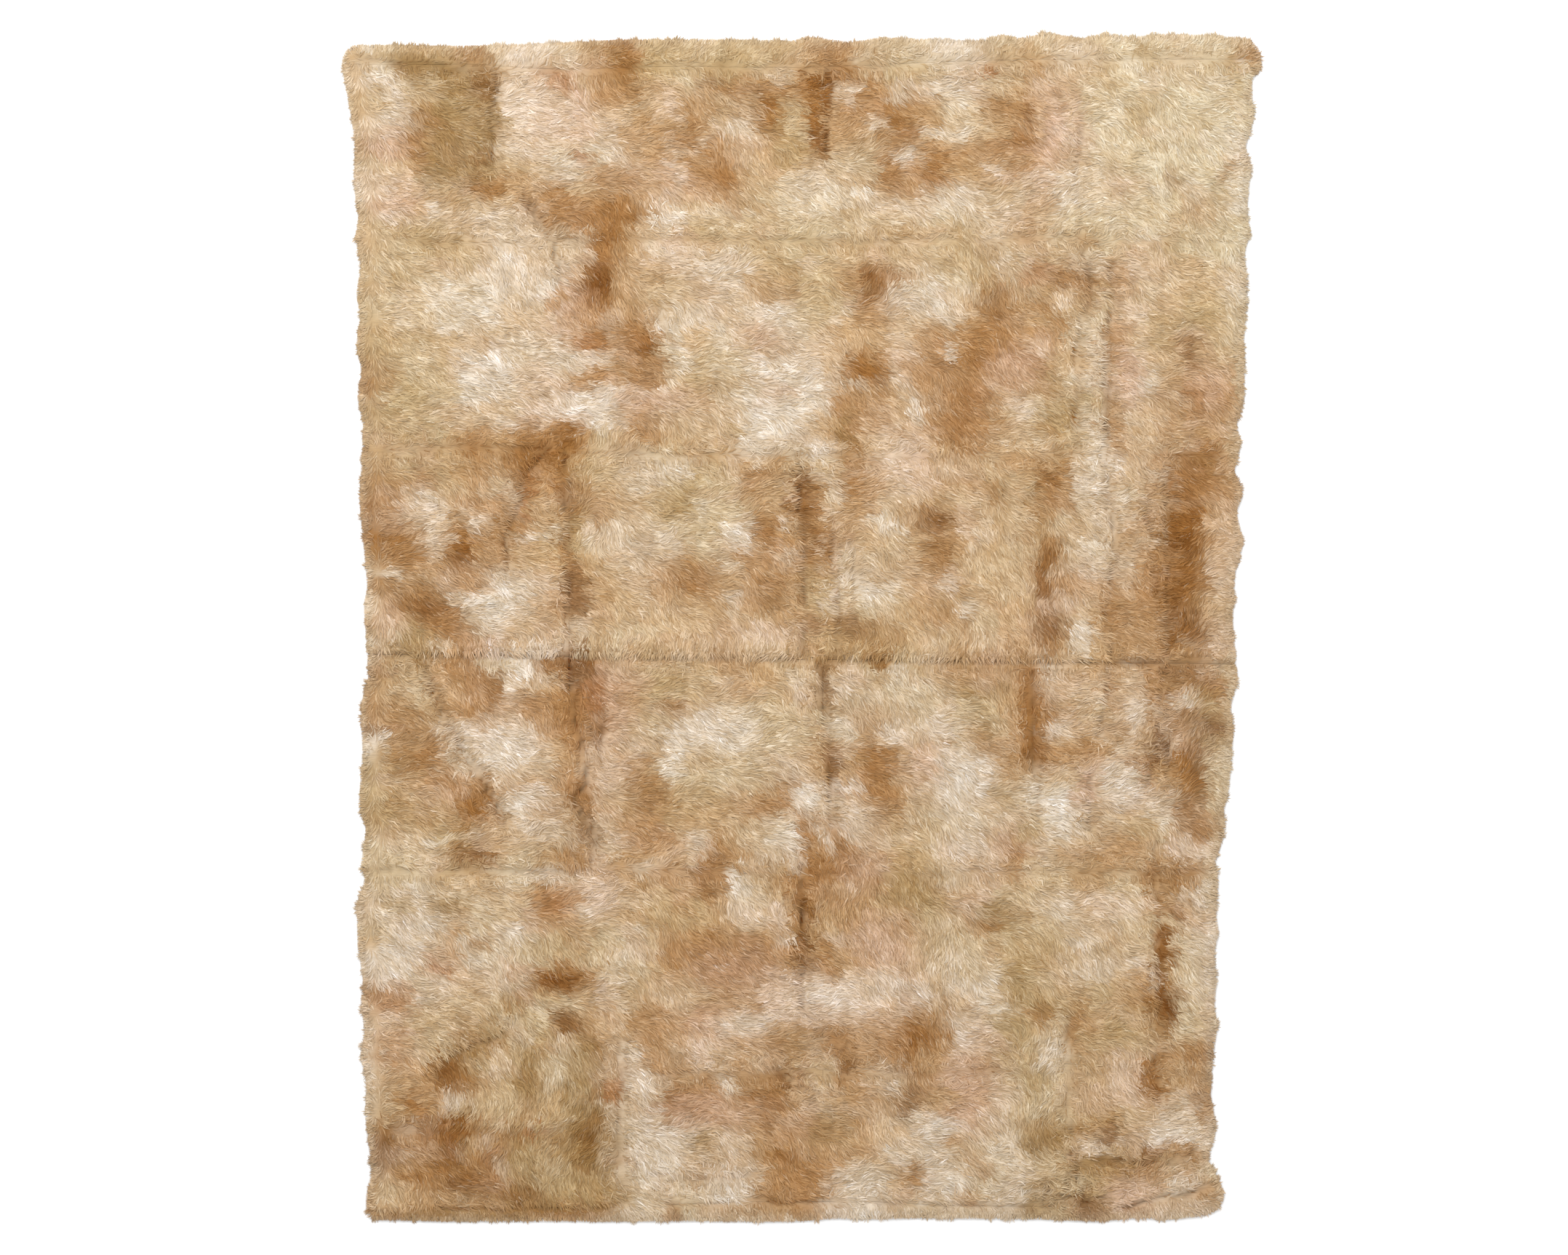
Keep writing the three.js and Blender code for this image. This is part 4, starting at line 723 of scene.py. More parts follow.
    (-380, -990, 60, 10, "brown", 50), (-170, -545, 74, 46, "fawn", 75),
    (-160, -540, 50, 30, "brown", 35), (-128, -571, 12, 7, "ivory", 60), (-95, -572, 52, 22, "brown", 45),
    (-35, -516, 14, 8, "ivory", 70), (-4, -545, 11, 50, "umber", 75), (30, -542, 24, 34, "brown", 75),
    (82, -558, 40, 20, "fawn", 60), (125, -528, 56, 36, "rose", 60), (-205, -612, 38, 20, "sand", 60),
    (-145, -622, 58, 28, "fawn", 60), (-84, -630, 15, 14, "brown", 55), (-50, -612, 26, 28, "peach", 80),
    (48, -620, 56, 32, "peach", 85), (45, -618, 40, 22, "ivory", 60),
    (-105, -664, 56, 13, "cream", 60, 10), (140, -600, 40, 18, "cream", 55),
    (202, -610, 17, 12, "ivory", 65), (55, -690, 42, 34, "fawn", 80), (52, -690, 28, 20, "brown", 40),
    (70, -736, 20, 15, "umber", 70), (32, -722, 20, 18, "cream", 60), (-40, -692, 40, 32, "brown", 60),
    (-100, -712, 14, 20, "fawn", 70), (-232, -730, 46, 18, "fawn", 70), (124, -690, 36, 30, "fawn", 60),
    (194, -696, 40, 44, "brown", 85), (202, -700, 22, 26, "umber", 65, 30),
    (275, -636, 9, 10, "umber", 65), (262, -682, 20, 30, "cream", 65), (-178, -792, 62, 34, "fawn", 90),
    (-190, -795, 40, 22, "brown", 45), (-236, -815, 12, 20, "brown", 65),
    (-128, -770, 15, 20, "ivory", 75), (-68, -790, 36, 38, "brown", 75), (-38, -768, 13, 26, "umber", 65),
    (80, -782, 42, 36, "fawn", 60), (142, -768, 26, 18, "cream", 50), (186, -782, 17, 20, "umber", 70),
    (164, -810, 22, 12, "umber", 60, 35), (38, -845, 32, 26, "olive", 65),
    (-48, -852, 56, 34, "fawn", 60), (-188, -866, 22, 16, "olive", 70), (-120, -870, 28, 26, "cream", 65),
    (-42, -888, 42, 13, "brown", 80), (78, -866, 50, 34, "fawn", 70), (155, -866, 36, 30, "ivory", 75),
    (230, -840, 30, 18, "ivory", 70), (248, -860, 26, 10, "fawn", 70), (188, -920, 28, 22, "brown", 75),
    (82, -925, 24, 20, "cream", 75), (-22, -932, 64, 38, "fawn", 70), (-10, -925, 42, 22, "brown", 40),
    (-120, -935, 32, 28, "ivory", 85), (248, -925, 36, 22, "ivory", 75), (290, -948, 15, 10, "fawn", 65),
    (-112, -986, 26, 10, "brown", 60), (12, -986, 32, 12, "fawn", 70), (130, -986, 56, 10, "cream", 70),
    (310, -502, 30, 10, "brown", 65), (290, -572, 20, 18, "khaki", 55), (418, -522, 26, 26, "khaki", 75),
    (460, -520, 18, 12, "ivory", 65), (488, -570, 28, 14, "cream", 75), (552, -560, 28, 24, "cream", 60),
    (605, -540, 12, 46, "umber", 80), (628, -562, 14, 42, "tan", 70), (682, -562, 24, 60, "cream", 50),
    (300, -598, 44, 30, "cream", 80), (365, -592, 24, 48, "khaki", 80), (365, -592, 14, 36, "olive", 45),
    (480, -616, 38, 24, "khaki", 60), (558, -608, 38, 22, "fawn", 70), (590, -600, 10, 18, "ivory", 65),
    (616, -628, 20, 26, "umber", 90), (222, -680, 20, 44, "brown", 60), (332, -640, 42, 13, "cream", 75),
    (396, -652, 18, 16, "brown", 70), (422, -702, 26, 40, "cream", 80), (290, -682, 28, 38, "peach", 60),
    (460, -670, 10, 46, "brown", 65), (480, -662, 20, 24, "fawn", 60), (532, -682, 38, 28, "khaki", 50),
    (650, -708, 34, 16, "brown", 80), (590, -754, 15, 34, "brown", 85), (622, -762, 18, 30, "tan", 70),
    (548, -752, 32, 38, "peach", 70), (266, -785, 38, 50, "rose", 75), (306, -746, 20, 11, "brown", 55),
    (294, -780, 7, 40, "fawn", 65), (342, -785, 36, 30, "peach", 50), (402, -765, 26, 28, "khaki", 60),
    (450, -795, 18, 40, "sand", 60), (628, -802, 36, 16, "cream", 65), (622, -852, 46, 22, "ivory", 75),
    (682, -852, 18, 38, "peach", 60), (412, -860, 36, 30, "olive", 75), (508, -850, 12, 24, "umber", 65),
    (282, -890, 14, 18, "fawn", 65), (216, -850, 14, 18, "ivory", 70), (335, -875, 46, 50, "cream", 50),
    (572, -880, 14, 10, "umber", 85), (488, -880, 24, 11, "cream", 65), (642, -884, 40, 14, "fawn", 80),
    (505, -902, 54, 8, "olive", 80), (545, -898, 30, 7, "umber", 60), (632, -936, 22, 16, "ivory", 80),
    (482, -930, 38, 26, "khaki", 55), (305, -912, 10, 14, "brown", 60), (262, -952, 28, 18, "ivory", 60),
    (282, -966, 28, 10, "fawn", 70), (442, -978, 36, 18, "sand", 60), (475, -962, 10, 22, "umber", 65),
    (538, -958, 28, 26, "rose", 75), (625, -982, 70, 15, "peach", 50), (320, -985, 50, 12, "cream", 65),
]

# Last touches of dye, over the blotches
touches = [
    (695, -285, 22, 45, "sand", 42), (345, -140, 25, 40, "tan", 40), (-752, 925, 14, 70, "tan", 45),
    (-105, 880, 45, 25, "brown", 30), (-70, 870, 25, 25, "brown", 35), (-145, 815, 25, 25, "fawn", 55),
    (-350, 970, 35, 22, "khaki", 40), (-325, 875, 25, 25, "tan", 50), (-415, 705, 25, 20, "fawn", 70),
    (-440, 650, 60, 45, "tan", 30), (-415, 562, 20, 18, "fawn", 60), (-460, 520, 45, 25, "tan", 35),
    (-365, 520, 30, 25, "fawn", 45), (-195, 485, 15, 25, "tan", 50), (45, 460, 18, 20, "tan", 40),
    (55, 380, 18, 20, "fawn", 65), (-125, 365, 20, 22, "tan", 45), (185, 420, 25, 25, "fawn", 50),
    (285, 325, 70, 30, "fawn", 35), (280, 305, 45, 18, "brown", 25), (405, 355, 25, 35, "khaki", 50),
    (465, 450, 20, 28, "tan", 55), (575, 345, 25, 35, "tan", 60), (595, 455, 15, 15, "tan", 35),
    (-540, 210, 45, 20, "fawn", 65), (-580, 225, 30, 15, "fawn", 40), (-565, 78, 35, 18, "fawn", 65),
    (-485, -5, 25, 28, "tan", 55), (-455, -90, 40, 15, "tan", 40), (-700, 195, 22, 25, "brown", 30),
    (-290, 330, 25, 40, "fawn", 40), (-530, 370, 20, 25, "tan", 40), (75, 185, 22, 30, "tan", 50),
    (55, 270, 15, 30, "tan", 35), (400, 210, 22, 28, "brown", 30), (450, 165, 18, 28, "tan", 40),
    (460, 80, 60, 18, "fawn", 50), (555, 85, 25, 30, "fawn", 30), (415, -32, 15, 18, "brown", 45),
    (255, 235, 30, 20, "fawn", 30), (-95, 45, 18, 22, "fawn", 40), (-2, 865, 12, 28, "brown", 50),
    (-40, 978, 35, 12, "tan", 40), (75, 755, 20, 18, "tan", 40), (30, 720, 25, 15, "sand", 40),
    (-430, -180, 35, 25, "fawn", 40), (-420, -210, 25, 20, "tan", 40), (-590, -262, 60, 14, "fawn", 45),
    (-470, -245, 40, 18, "tan", 35), (-430, -300, 25, 25, "fawn", 35), (-690, -415, 40, 18, "khaki", 35),
    (-550, -430, 50, 14, "tan", 40), (-395, -400, 35, 15, "fawn", 40), (0, -350, 15, 35, "brown", 45),
    (-205, -460, 18, 22, "fawn", 35), (-722, -535, 18, 18, "tan", 45), (-705, -715, 22, 22, "fawn", 55),
    (-465, -660, 40, 16, "khaki", 55, -25), (-375, -715, 25, 25, "olive", 45),
    (-580, -805, 18, 14, "olive", 50), (-540, -900, 40, 35, "brown", 45),
    (-470, -885, 30, 28, "olive", 45), (140, -842, 35, 20, "tan", 60), (170, -870, 20, 15, "tan", 40),
    (-110, -742, 25, 15, "fawn", 50), (-90, -915, 30, 30, "tan", 25), (380, -770, 25, 35, "khaki", 35),
    (640, -165, 22, 30, "brown", 45), (555, -225, 35, 12, "brown", 40), (545, -90, 18, 25, "tan", 45),
    (640, -835, 30, 18, "tan", 35), (640, -922, 18, 15, "fawn", 45), (275, -622, 18, 15, "tan", 45),
    (250, -435, 22, 22, "tan", 35), (130, -188, 18, 14, "tan", 40), (460, -345, 20, 18, "tan", 40),
    (255, 540, 25, 30, "tan", 35), (165, 505, 15, 18, "tan", 35), (-640, 905, 30, 25, "sand", 45),
    (-590, 870, 22, 22, "khaki", 40), (-410, 765, 40, 25, "cream", 45), (-345, 800, 20, 25, "sand", 40),
    (-300, 635, 20, 22, "tan", 60), (-245, 565, 40, 28, "sand", 45), (-690, 640, 35, 30, "sand", 30),
    (-670, 450, 50, 35, "sand", 35), (-635, 385, 22, 25, "sand", 30), (-420, 322, 20, 20, "fawn", 55),
    (-500, 310, 30, 18, "tan", 35), (-200, 350, 60, 25, "sand", 35), (-65, 210, 25, 30, "tan", 60),
    (-20, 280, 25, 25, "sand", 30), (-5, 165, 20, 25, "tan", 35), (15, 938, 22, 14, "tan", 65),
    (48, 840, 15, 45, "tan", 55), (255, 775, 30, 18, "tan", 65), (350, 935, 25, 25, "sand", 40),
    (450, 962, 45, 20, "cream", 35), (350, 790, 35, 18, "tan", 35), (710, 665, 45, 45, "straw", 55),
    (650, 660, 25, 30, "straw", 35), (722, 500, 22, 50, "sand", 45), (738, 410, 12, 35, "sand", 50),
    (725, 330, 15, 60, "tan", 30), (420, 620, 22, 15, "tan", 45), (435, 670, 40, 25, "sand", 35),
    (460, 315, 18, 15, "sand", 40), (340, 235, 12, 25, "sand", 40), (250, 160, 15, 35, "tan", 30),
    (-680, -40, 22, 22, "sand", 45), (-660, -95, 35, 30, "sand", 42), (-590, -95, 20, 25, "tan", 45),
    (-525, -58, 30, 14, "cream", 45), (-95, -245, 50, 30, "sand", 45), (-80, -340, 50, 30, "sand", 40),
    (-145, -450, 18, 30, "fawn", 50), (60, -172, 22, 22, "sand", 60), (170, -150, 30, 12, "cream", 40),
    (318, -165, 15, 20, "sand", 45), (345, -285, 30, 35, "sand", 40), (365, -230, 25, 20, "tan", 35),
    (700, -235, 25, 40, "sand", 50), (715, -100, 15, 50, "sand", 40), (640, -60, 28, 15, "tan", 40),
    (605, -490, 22, 14, "tan", 70), (632, -540, 12, 40, "sand", 60), (610, -430, 15, 40, "tan", 40),
    (590, -350, 20, 40, "sand", 30), (645, -655, 20, 28, "sand", 70), (342, -965, 35, 22, "cream", 60),
    (410, -900, 25, 25, "sand", 40), (455, -935, 20, 16, "sand", 45), (215, -720, 28, 28, "fawn", 50),
    (225, -790, 35, 15, "tan", 45), (210, -915, 18, 45, "cream", 52), (60, -970, 30, 15, "cream", 35),
    (70, -860, 22, 20, "tan", 45), (-170, -815, 90, 30, "rose", 40), (20, -665, 40, 18, "peach", 45),
    (30, -750, 20, 20, "sand", 45), (-110, -570, 70, 40, "rose", 30), (15, -520, 12, 30, "tan", 45),
    (60, -560, 18, 30, "tan", 35), (-450, -535, 35, 30, "sand", 40), (-390, -500, 20, 15, "tan", 35),
    (-570, -545, 22, 22, "cream", 50), (-650, -510, 40, 35, "cream", 35),
    (-425, -618, 18, 14, "khaki", 50), (-350, -670, 25, 20, "tan", 45), (-620, -695, 40, 22, "sand", 40),
    (-630, -790, 20, 20, "tan", 45), (-640, -605, 30, 20, "cream", 35), (555, -530, 25, 25, "sand", 35),
    (350, -450, 22, 20, "sand", 35), (-365, 95, 20, 22, "tan", 35), (-668, 125, 18, 18, "fawn", 45),
    (-620, 15, 25, 20, "fawn", 40), (85, 572, 35, 12, "tan", 40), (115, 475, 15, 22, "tan", 40),
    (160, 370, 18, 30, "tan", 35), (-735, 855, 22, 30, "tan", 45), (-345, 975, 35, 18, "brown", 30),
    (-35, 975, 35, 15, "khaki", 45), (-335, 900, 25, 30, "fawn", 50), (-580, 630, 25, 22, "khaki", 40),
    (-410, 695, 18, 14, "brown", 40), (45, 385, 20, 20, "fawn", 35), (410, 335, 18, 20, "brown", 30),
    (410, 80, 25, 18, "umber", 45), (325, 45, 35, 14, "fawn", 35), (75, 180, 15, 40, "fawn", 35),
    (150, 130, 30, 50, "tan", 25), (-480, 250, 15, 25, "brown", 35), (-540, 250, 20, 15, "fawn", 35),
    (-510, 108, 25, 12, "fawn", 40), (-620, -262, 45, 14, "fawn", 40), (-725, -150, 14, 40, "brown", 35),
    (445, 455, 18, 25, "tan", 40), (440, 565, 28, 12, "tan", 45), (-490, 530, 35, 30, "tan", 30),
    (560, 320, 30, 25, "tan", 40), (490, 190, 30, 30, "tan", 30), (630, -305, 18, 14, "brown", 40),
    (530, -325, 30, 12, "tan", 35), (440, -185, 15, 12, "tan", 40), (-145, -975, 30, 14, "fawn", 35),
    (-275, -710, 15, 22, "fawn", 40), (-370, -800, 20, 14, "olive", 40),
    (-665, -850, 20, 20, "brown", 30), (-735, -950, 20, 30, "brown", 30), (80, -932, 40, 22, "cream", 60),
    (600, -490, 25, 15, "sand", 50), (625, -650, 12, 40, "sand", 45), (220, -715, 25, 30, "tan", 40),
    (-145, -455, 18, 25, "tan", 50), (60, -170, 25, 25, "cream", 45), (360, -60, 28, 15, "tan", 45),
    (285, -52, 18, 12, "tan", 40), (-520, -58, 25, 12, "sand", 40), (-680, -35, 22, 18, "tan", 40),
    (-665, -190, 25, 20, "tan", 40), (-580, -210, 25, 15, "cream", 50), (-130, -240, 45, 30, "sand", 35),
    (-355, -670, 30, 25, "tan", 40), (-425, -610, 20, 12, "tan", 40), (455, -930, 22, 18, "sand", 45),
    (190, 865, 30, 20, "tan", 35), (390, 860, 15, 35, "tan", 35), (-240, 460, 15, 15, "sand", 50),
    (620, 100, 12, 60, "fawn", 25), (620, -90, 30, 12, "tan", 35), (610, -250, 20, 20, "tan", 40),
    (335, 355, 18, 14, "sand", 35), (150, 380, 16, 25, "tan", 35), (420, 620, 22, 14, "sand", 35),
    (560, 570, 25, 18, "sand", 30), (-320, 220, 25, 25, "tan", 35), (-600, 265, 12, 25, "tan", 40),
    (-500, 755, 14, 18, "tan", 35), (-515, 860, 12, 20, "khaki", 35), (-640, 965, 28, 14, "tan", 30),
    (-345, 805, 22, 25, "cream", 30), (-380, 735, 22, 12, "sand", 35), (-700, 635, 25, 22, "sand", 30),
    (-670, -770, 35, 12, "tan", 35, 20), (-20, -780, 18, 18, "tan", 35), (25, -740, 15, 25, "tan", 30),
]

paint = {
    "bendX": [(10, 42, 34, 1), (5, 14, 10, 2), (3.5, 7, 2.6, 3)],
    "bendY": [(9, 42, 34, 4), (4, 14, 10, 5), (1.5, 7, 2.6, 6)],
    "base": [(0.9, 95, 80, 7), (0.5, 34, 28, 8)],
    "mottle": [("brown", 0.30, 11), ("ivory", 0.32, 12), ("rose", 0.3, 13), ("khaki", 0.25, 14)],
    "mottleFrom": 0.15,
    "patches": [(0.12, 24, 17, 9), (0.12, 10, 6, 10)],
    "margin": 16, "squareness": 2.3,
    "washes": (0.7, 0.95), "blotches": (0.7, 0.76), "touches": (0.6, 1.3),  # softness, share
}
dyeGain = np.array([0.898, 0.932, 1.082])
# The tone it warms holds random tone and painted shade alike, so painted shade comes out warm brown
warmth = np.array([0.8, 1.1, 1.6])  # darker hair is also warmer
# Browns are dyed a little deeper than they look, because light gets in between the hairs
deepen = np.array([1.08, 1.12, 1.2])


# A screen colour as light
def linear(c):
    c = np.array(c) / 255.0
    return np.where(c <= 0.04045, c / 12.92, ((c + 0.055) / 1.055) ** 2.4)


def tinted(tone):
    return tone[:, None] ** warmth


def layDye(colour, x, y, wx, wy, marks, soft, share):
    square = paint["squareness"]
    for cx, cy, across, up, tone, strength, *turn in marks:
        reach = (1 + soft) * max(across, up) + paint["margin"]
        near = np.nonzero((abs(x - cx) < reach) & (abs(y - cy) < reach))[0]
        t = math.radians(turn[0] if turn else 0)
        dx, dy = wx[near] - cx, wy[near] - cy
        u = (dx * math.cos(t) + dy * math.sin(t)) / across
        v = (-dx * math.sin(t) + dy * math.cos(t)) / up
        d = (abs(u) ** square + abs(v) ** square) ** (1 / square)
        a = np.clip((1 + soft - d) / (2 * soft), 0, 1)
        a = (a * a * (3 - 2 * a) * share * strength / 100.0)[:, None]
        colour[near] = colour[near] * (1 - a) + linear(tones[tone]) * a


def dye(x, y):
    wx, wy = layered(x, x, y, paint["bendX"]), layered(y, x, y, paint["bendY"])
    mix = np.clip(layered(0.5, x, y, paint["base"]), 0, 1)[:, None]
    colour = linear(tones["tan"]) * (1 - mix) + linear(tones["sand"]) * mix
    layDye(colour, x, y, wx, wy, washes, *paint["washes"])
    for tone, share, seed in paint["mottle"]:
        mottle = layered(0, wx, wy, [(1, 58, 44, seed), (0.8, 25, 18, seed + 10)])
        a = (share * np.clip(mottle - paint["mottleFrom"], 0, 1))[:, None]
        colour = colour * (1 - a) + linear(tones[tone]) * a
    layDye(colour, x, y, wx, wy, sorted(blotches, key=lambda b: -b[2] * b[3]), *paint["blotches"])
    layDye(colour, x, y, wx, wy, touches, *paint["touches"])
    patchy = layered(1, wx, wy, paint["patches"])
    return np.clip(colour ** deepen * tinted(patchy) * dyeGain, 0, 1)


# Comb, which way the pile lies: middle x, y, half sizes, then where its tips point (0 is to the right)
comb = [
    (-200, 600, 60, 50, 27), (90, 860, 50, 50, 35), (270, 600, 70, 50, -40), (325, 570, 40, 40, -50),
    (120, 570, 40, 40, 75), (-200, 330, 60, 40, -25), (175, 495, 60, 25, 35), (66, 75, 24, 90, 92),
    (400, 70, 50, 80, -50), (690, 225, 60, 35, -20), (650, 100, 35, 110, 80), (570, 340, 30, 40, -60),
    (40, -28, 280, 26, -75), (-400, -24, 280, 20, -60), (75, -425, 90, 90, -40),
    (-150, -570, 110, 80, -40), (195, -550, 110, 60, -50), (-385, -840, 75, 140, -92),
    (-550, -840, 70, 70, -80), (-670, -930, 45, 40, -45), (400, -725, 50, 90, -70),
    (520, -550, 90, 60, -20), (-340, 300, 40, 30, 95), (-340, 165, 40, 30, -95), (-400, 235, 34, 40, 175),
    (-290, 235, 36, 40, 5), (640, -180, 50, 110, 70), (-660, -190, 60, 110, 20),
    (385, -150, 30, 100, -65), (-375, -200, 30, 130, -70), (20, -940, 90, 50, 20),
    (610, -930, 70, 40, 60), (0, -760, 90, 60, 25), (200, -700, 60, 60, -60), (-600, 850, 90, 90, -12),
    (-350, 600, 60, 110, -35),
]
combing = {
    "main": -22, "wander": [(30, 120, 90, 51), (40, 46, 38, 52), (22, 19, 16, 53)],
    "fading": 0.9, "hold": 1.3,
}


def combAngle(x, y):
    angle = layered(combing["main"], x, y, combing["wander"])
    weight, turned = np.zeros_like(x), np.zeros_like(x)
    for cx, cy, across, up, degrees in comb:
        d = ((x - cx) / across) ** 2 + ((y - cy) / up) ** 2
        w = np.exp(-d * combing["fading"])
        turned += w * degrees
        weight += w
    share = np.clip(weight * combing["hold"], 0, 1)
    return np.radians(angle + share * turned / np.maximum(weight, tiny))


# Locks of hair: each is a slim four-cornered blade, lying over the ones beyond it
locks = {
    "spacing": 2.65, "jitter": 0.45, "inset": 0.8, "stray": 0.15, "tilt": 0.22,
    "length": (17.0, 32.0), "halfWidth": (0.75, 1.4), "lift": (0.5, 1.7), "tipLift": (0.3, 1.5),
    "rootDepth": 0.8, "middle": 0.52, "gather": 0.45, "curl": 0.26, "frizz": 0.25,
    "heap": 1.5, "heapJitter": 0.3, "tipHeap": 0.6,
    "partLean": 4, "partMost": 0.85, "partShorter": 0.4, "partDeep": 6,
    "rimWidth": 30, "rimStep": 4, "rimLean": 1.3, "rimShorter": 0.45, "rimDroop": 3.5, "droopAt": 5,
    "overhang": 7, "clumpLong": 19.0, "clumpWide": 11.0, "clumpFrom": 0.1, "clumpSpan": 0.8,
    "clumpEdge": 0.6, "bends": [(1, 19, 14, 63)], "rootShade": 0.90, "tipLight": 1.04,
}
field = {"x": 790, "y": 1010}


def clumps(x, y):
    bestD, secondD = np.full(x.shape, far), np.full(x.shape, far)
    bestX, bestY = np.zeros_like(x), np.zeros_like(x)
    start, span = locks["clumpFrom"], locks["clumpSpan"]
    gx, gy = x / locks["clumpLong"], y / locks["clumpWide"]
    ix, iy = np.floor(gx).astype(np.int64), np.floor(gy).astype(np.int64)
    for di in (-1, 0, 1):
        for dj in (-1, 0, 1):
            cx = ix + di + start + span * hashed(ix + di, iy + dj, 61)
            cy = iy + dj + start + span * hashed(ix + di, iy + dj, 62)
            d = np.hypot(cx - gx, cy - gy)
            closer = d < bestD
            secondD = np.where(closer, bestD, np.minimum(secondD, d))
            bestX, bestY = np.where(closer, cx, bestX), np.where(closer, cy, bestY)
            bestD = np.where(closer, d, bestD)
    heart = np.clip((secondD - bestD) / locks["clumpEdge"], 0, 1)
    return bestX * locks["clumpLong"], bestY * locks["clumpWide"], heart


def between(pair, share):
    return pair[0] + (pair[1] - pair[0]) * share


# Hair leans away from the lines where the pile parts, and outward at the rim
def leaning(x, y, angle, rim):
    dirX, dirY = np.cos(angle), np.sin(angle)
    slopeX, slopeY = fall(dropAt, x, y, net["step"])
    slope = np.hypot(slopeX, slopeY)
    part = np.clip(slope * locks["partLean"], 0, locks["partMost"])
    dirX = dirX * (1 - part) + part * slopeX / np.maximum(slope, tiny)
    dirY = dirY * (1 - part) + part * slopeY / np.maximum(slope, tiny)
    outX, outY = fall(edgeDistance, x, y, locks["rimStep"])
    dirX = dirX * (1 - rim) + locks["rimLean"] * rim * outX
    dirY = dirY * (1 - rim) + locks["rimLean"] * rim * outY
    size = np.maximum(np.hypot(dirX, dirY), tiny)
    return dirX / size, dirY / size


# A lock's colour: where it samples the dye, random tone, painted light at tuft hearts and painted shade at
# tuft edges, painted shade where the pile parts, dark dashes, pale hairs and a cream rim
hairTones = {
    "slide": 5, "slideRange": 13, "pull": 0.6, "scatter": 2, "uneven": 0.125,
    "base": 0.94, "heart": 0.07, "tuft": 0.09, "drop": 0.03, "dropMost": 6,
    "dashes": 0.03, "dashHeart": 0.5, "dashTone": 0.82,
    "pale": 0.05, "paleKeep": 0.82, "paleMix": 0.18, "rimMix": 0.22,
}


# A whole tuft takes its colour from one place, which gives the blotches ragged edges
def pileColour(x, y, direction, clump, heart, drop, rim):
    n = len(x)
    dirX, dirY = direction
    centreX, centreY = clump
    cream = linear(tones["cream"])
    tuft = hashed((centreX * 7).astype(np.int64), (centreY * 7).astype(np.int64), 66)
    slide = hairTones["slide"] + hairTones["slideRange"] * (tuft - 0.5)
    pull = hairTones["pull"] * (1 - rim)
    colour = dye(x + pull * (centreX - x) + dirX * slide + rng.normal(0, hairTones["scatter"], n),
                 y + pull * (centreY - y) + dirY * slide + rng.normal(0, hairTones["scatter"], n))
    # Painted light and shade: locks at a tuft's heart are lighter and those at its edge darker; the tuft term
    # is random tone
    tuftToneAndLight = hairTones["base"] + hairTones["heart"] * heart + hairTones["tuft"] * tuft
    # Painted shade: locks are darker where the pile parts and sinks
    creaseShade = 1 - hairTones["drop"] * np.clip(drop, 0, hairTones["dropMost"])
    tone = (1 + rng.normal(0, hairTones["uneven"], n)) * tuftToneAndLight * creaseShade
    # Dark dashes at tuft edges: partly dark hairs, partly painted shade between tufts
    dashes = (rng.random(n) < hairTones["dashes"]) & (heart < hairTones["dashHeart"])
    tone = np.where(dashes, tone * hairTones["dashTone"], tone)
    pale = rng.random(n) < hairTones["pale"]
    paler = colour * hairTones["paleKeep"] + hairTones["paleMix"] * cream
    colour = np.where(pale[:, None], paler, colour) * tinted(tone)
    rimMix = hairTones["rimMix"] * rim[:, None]
    return colour * (1 - rimMix) + rimMix * cream


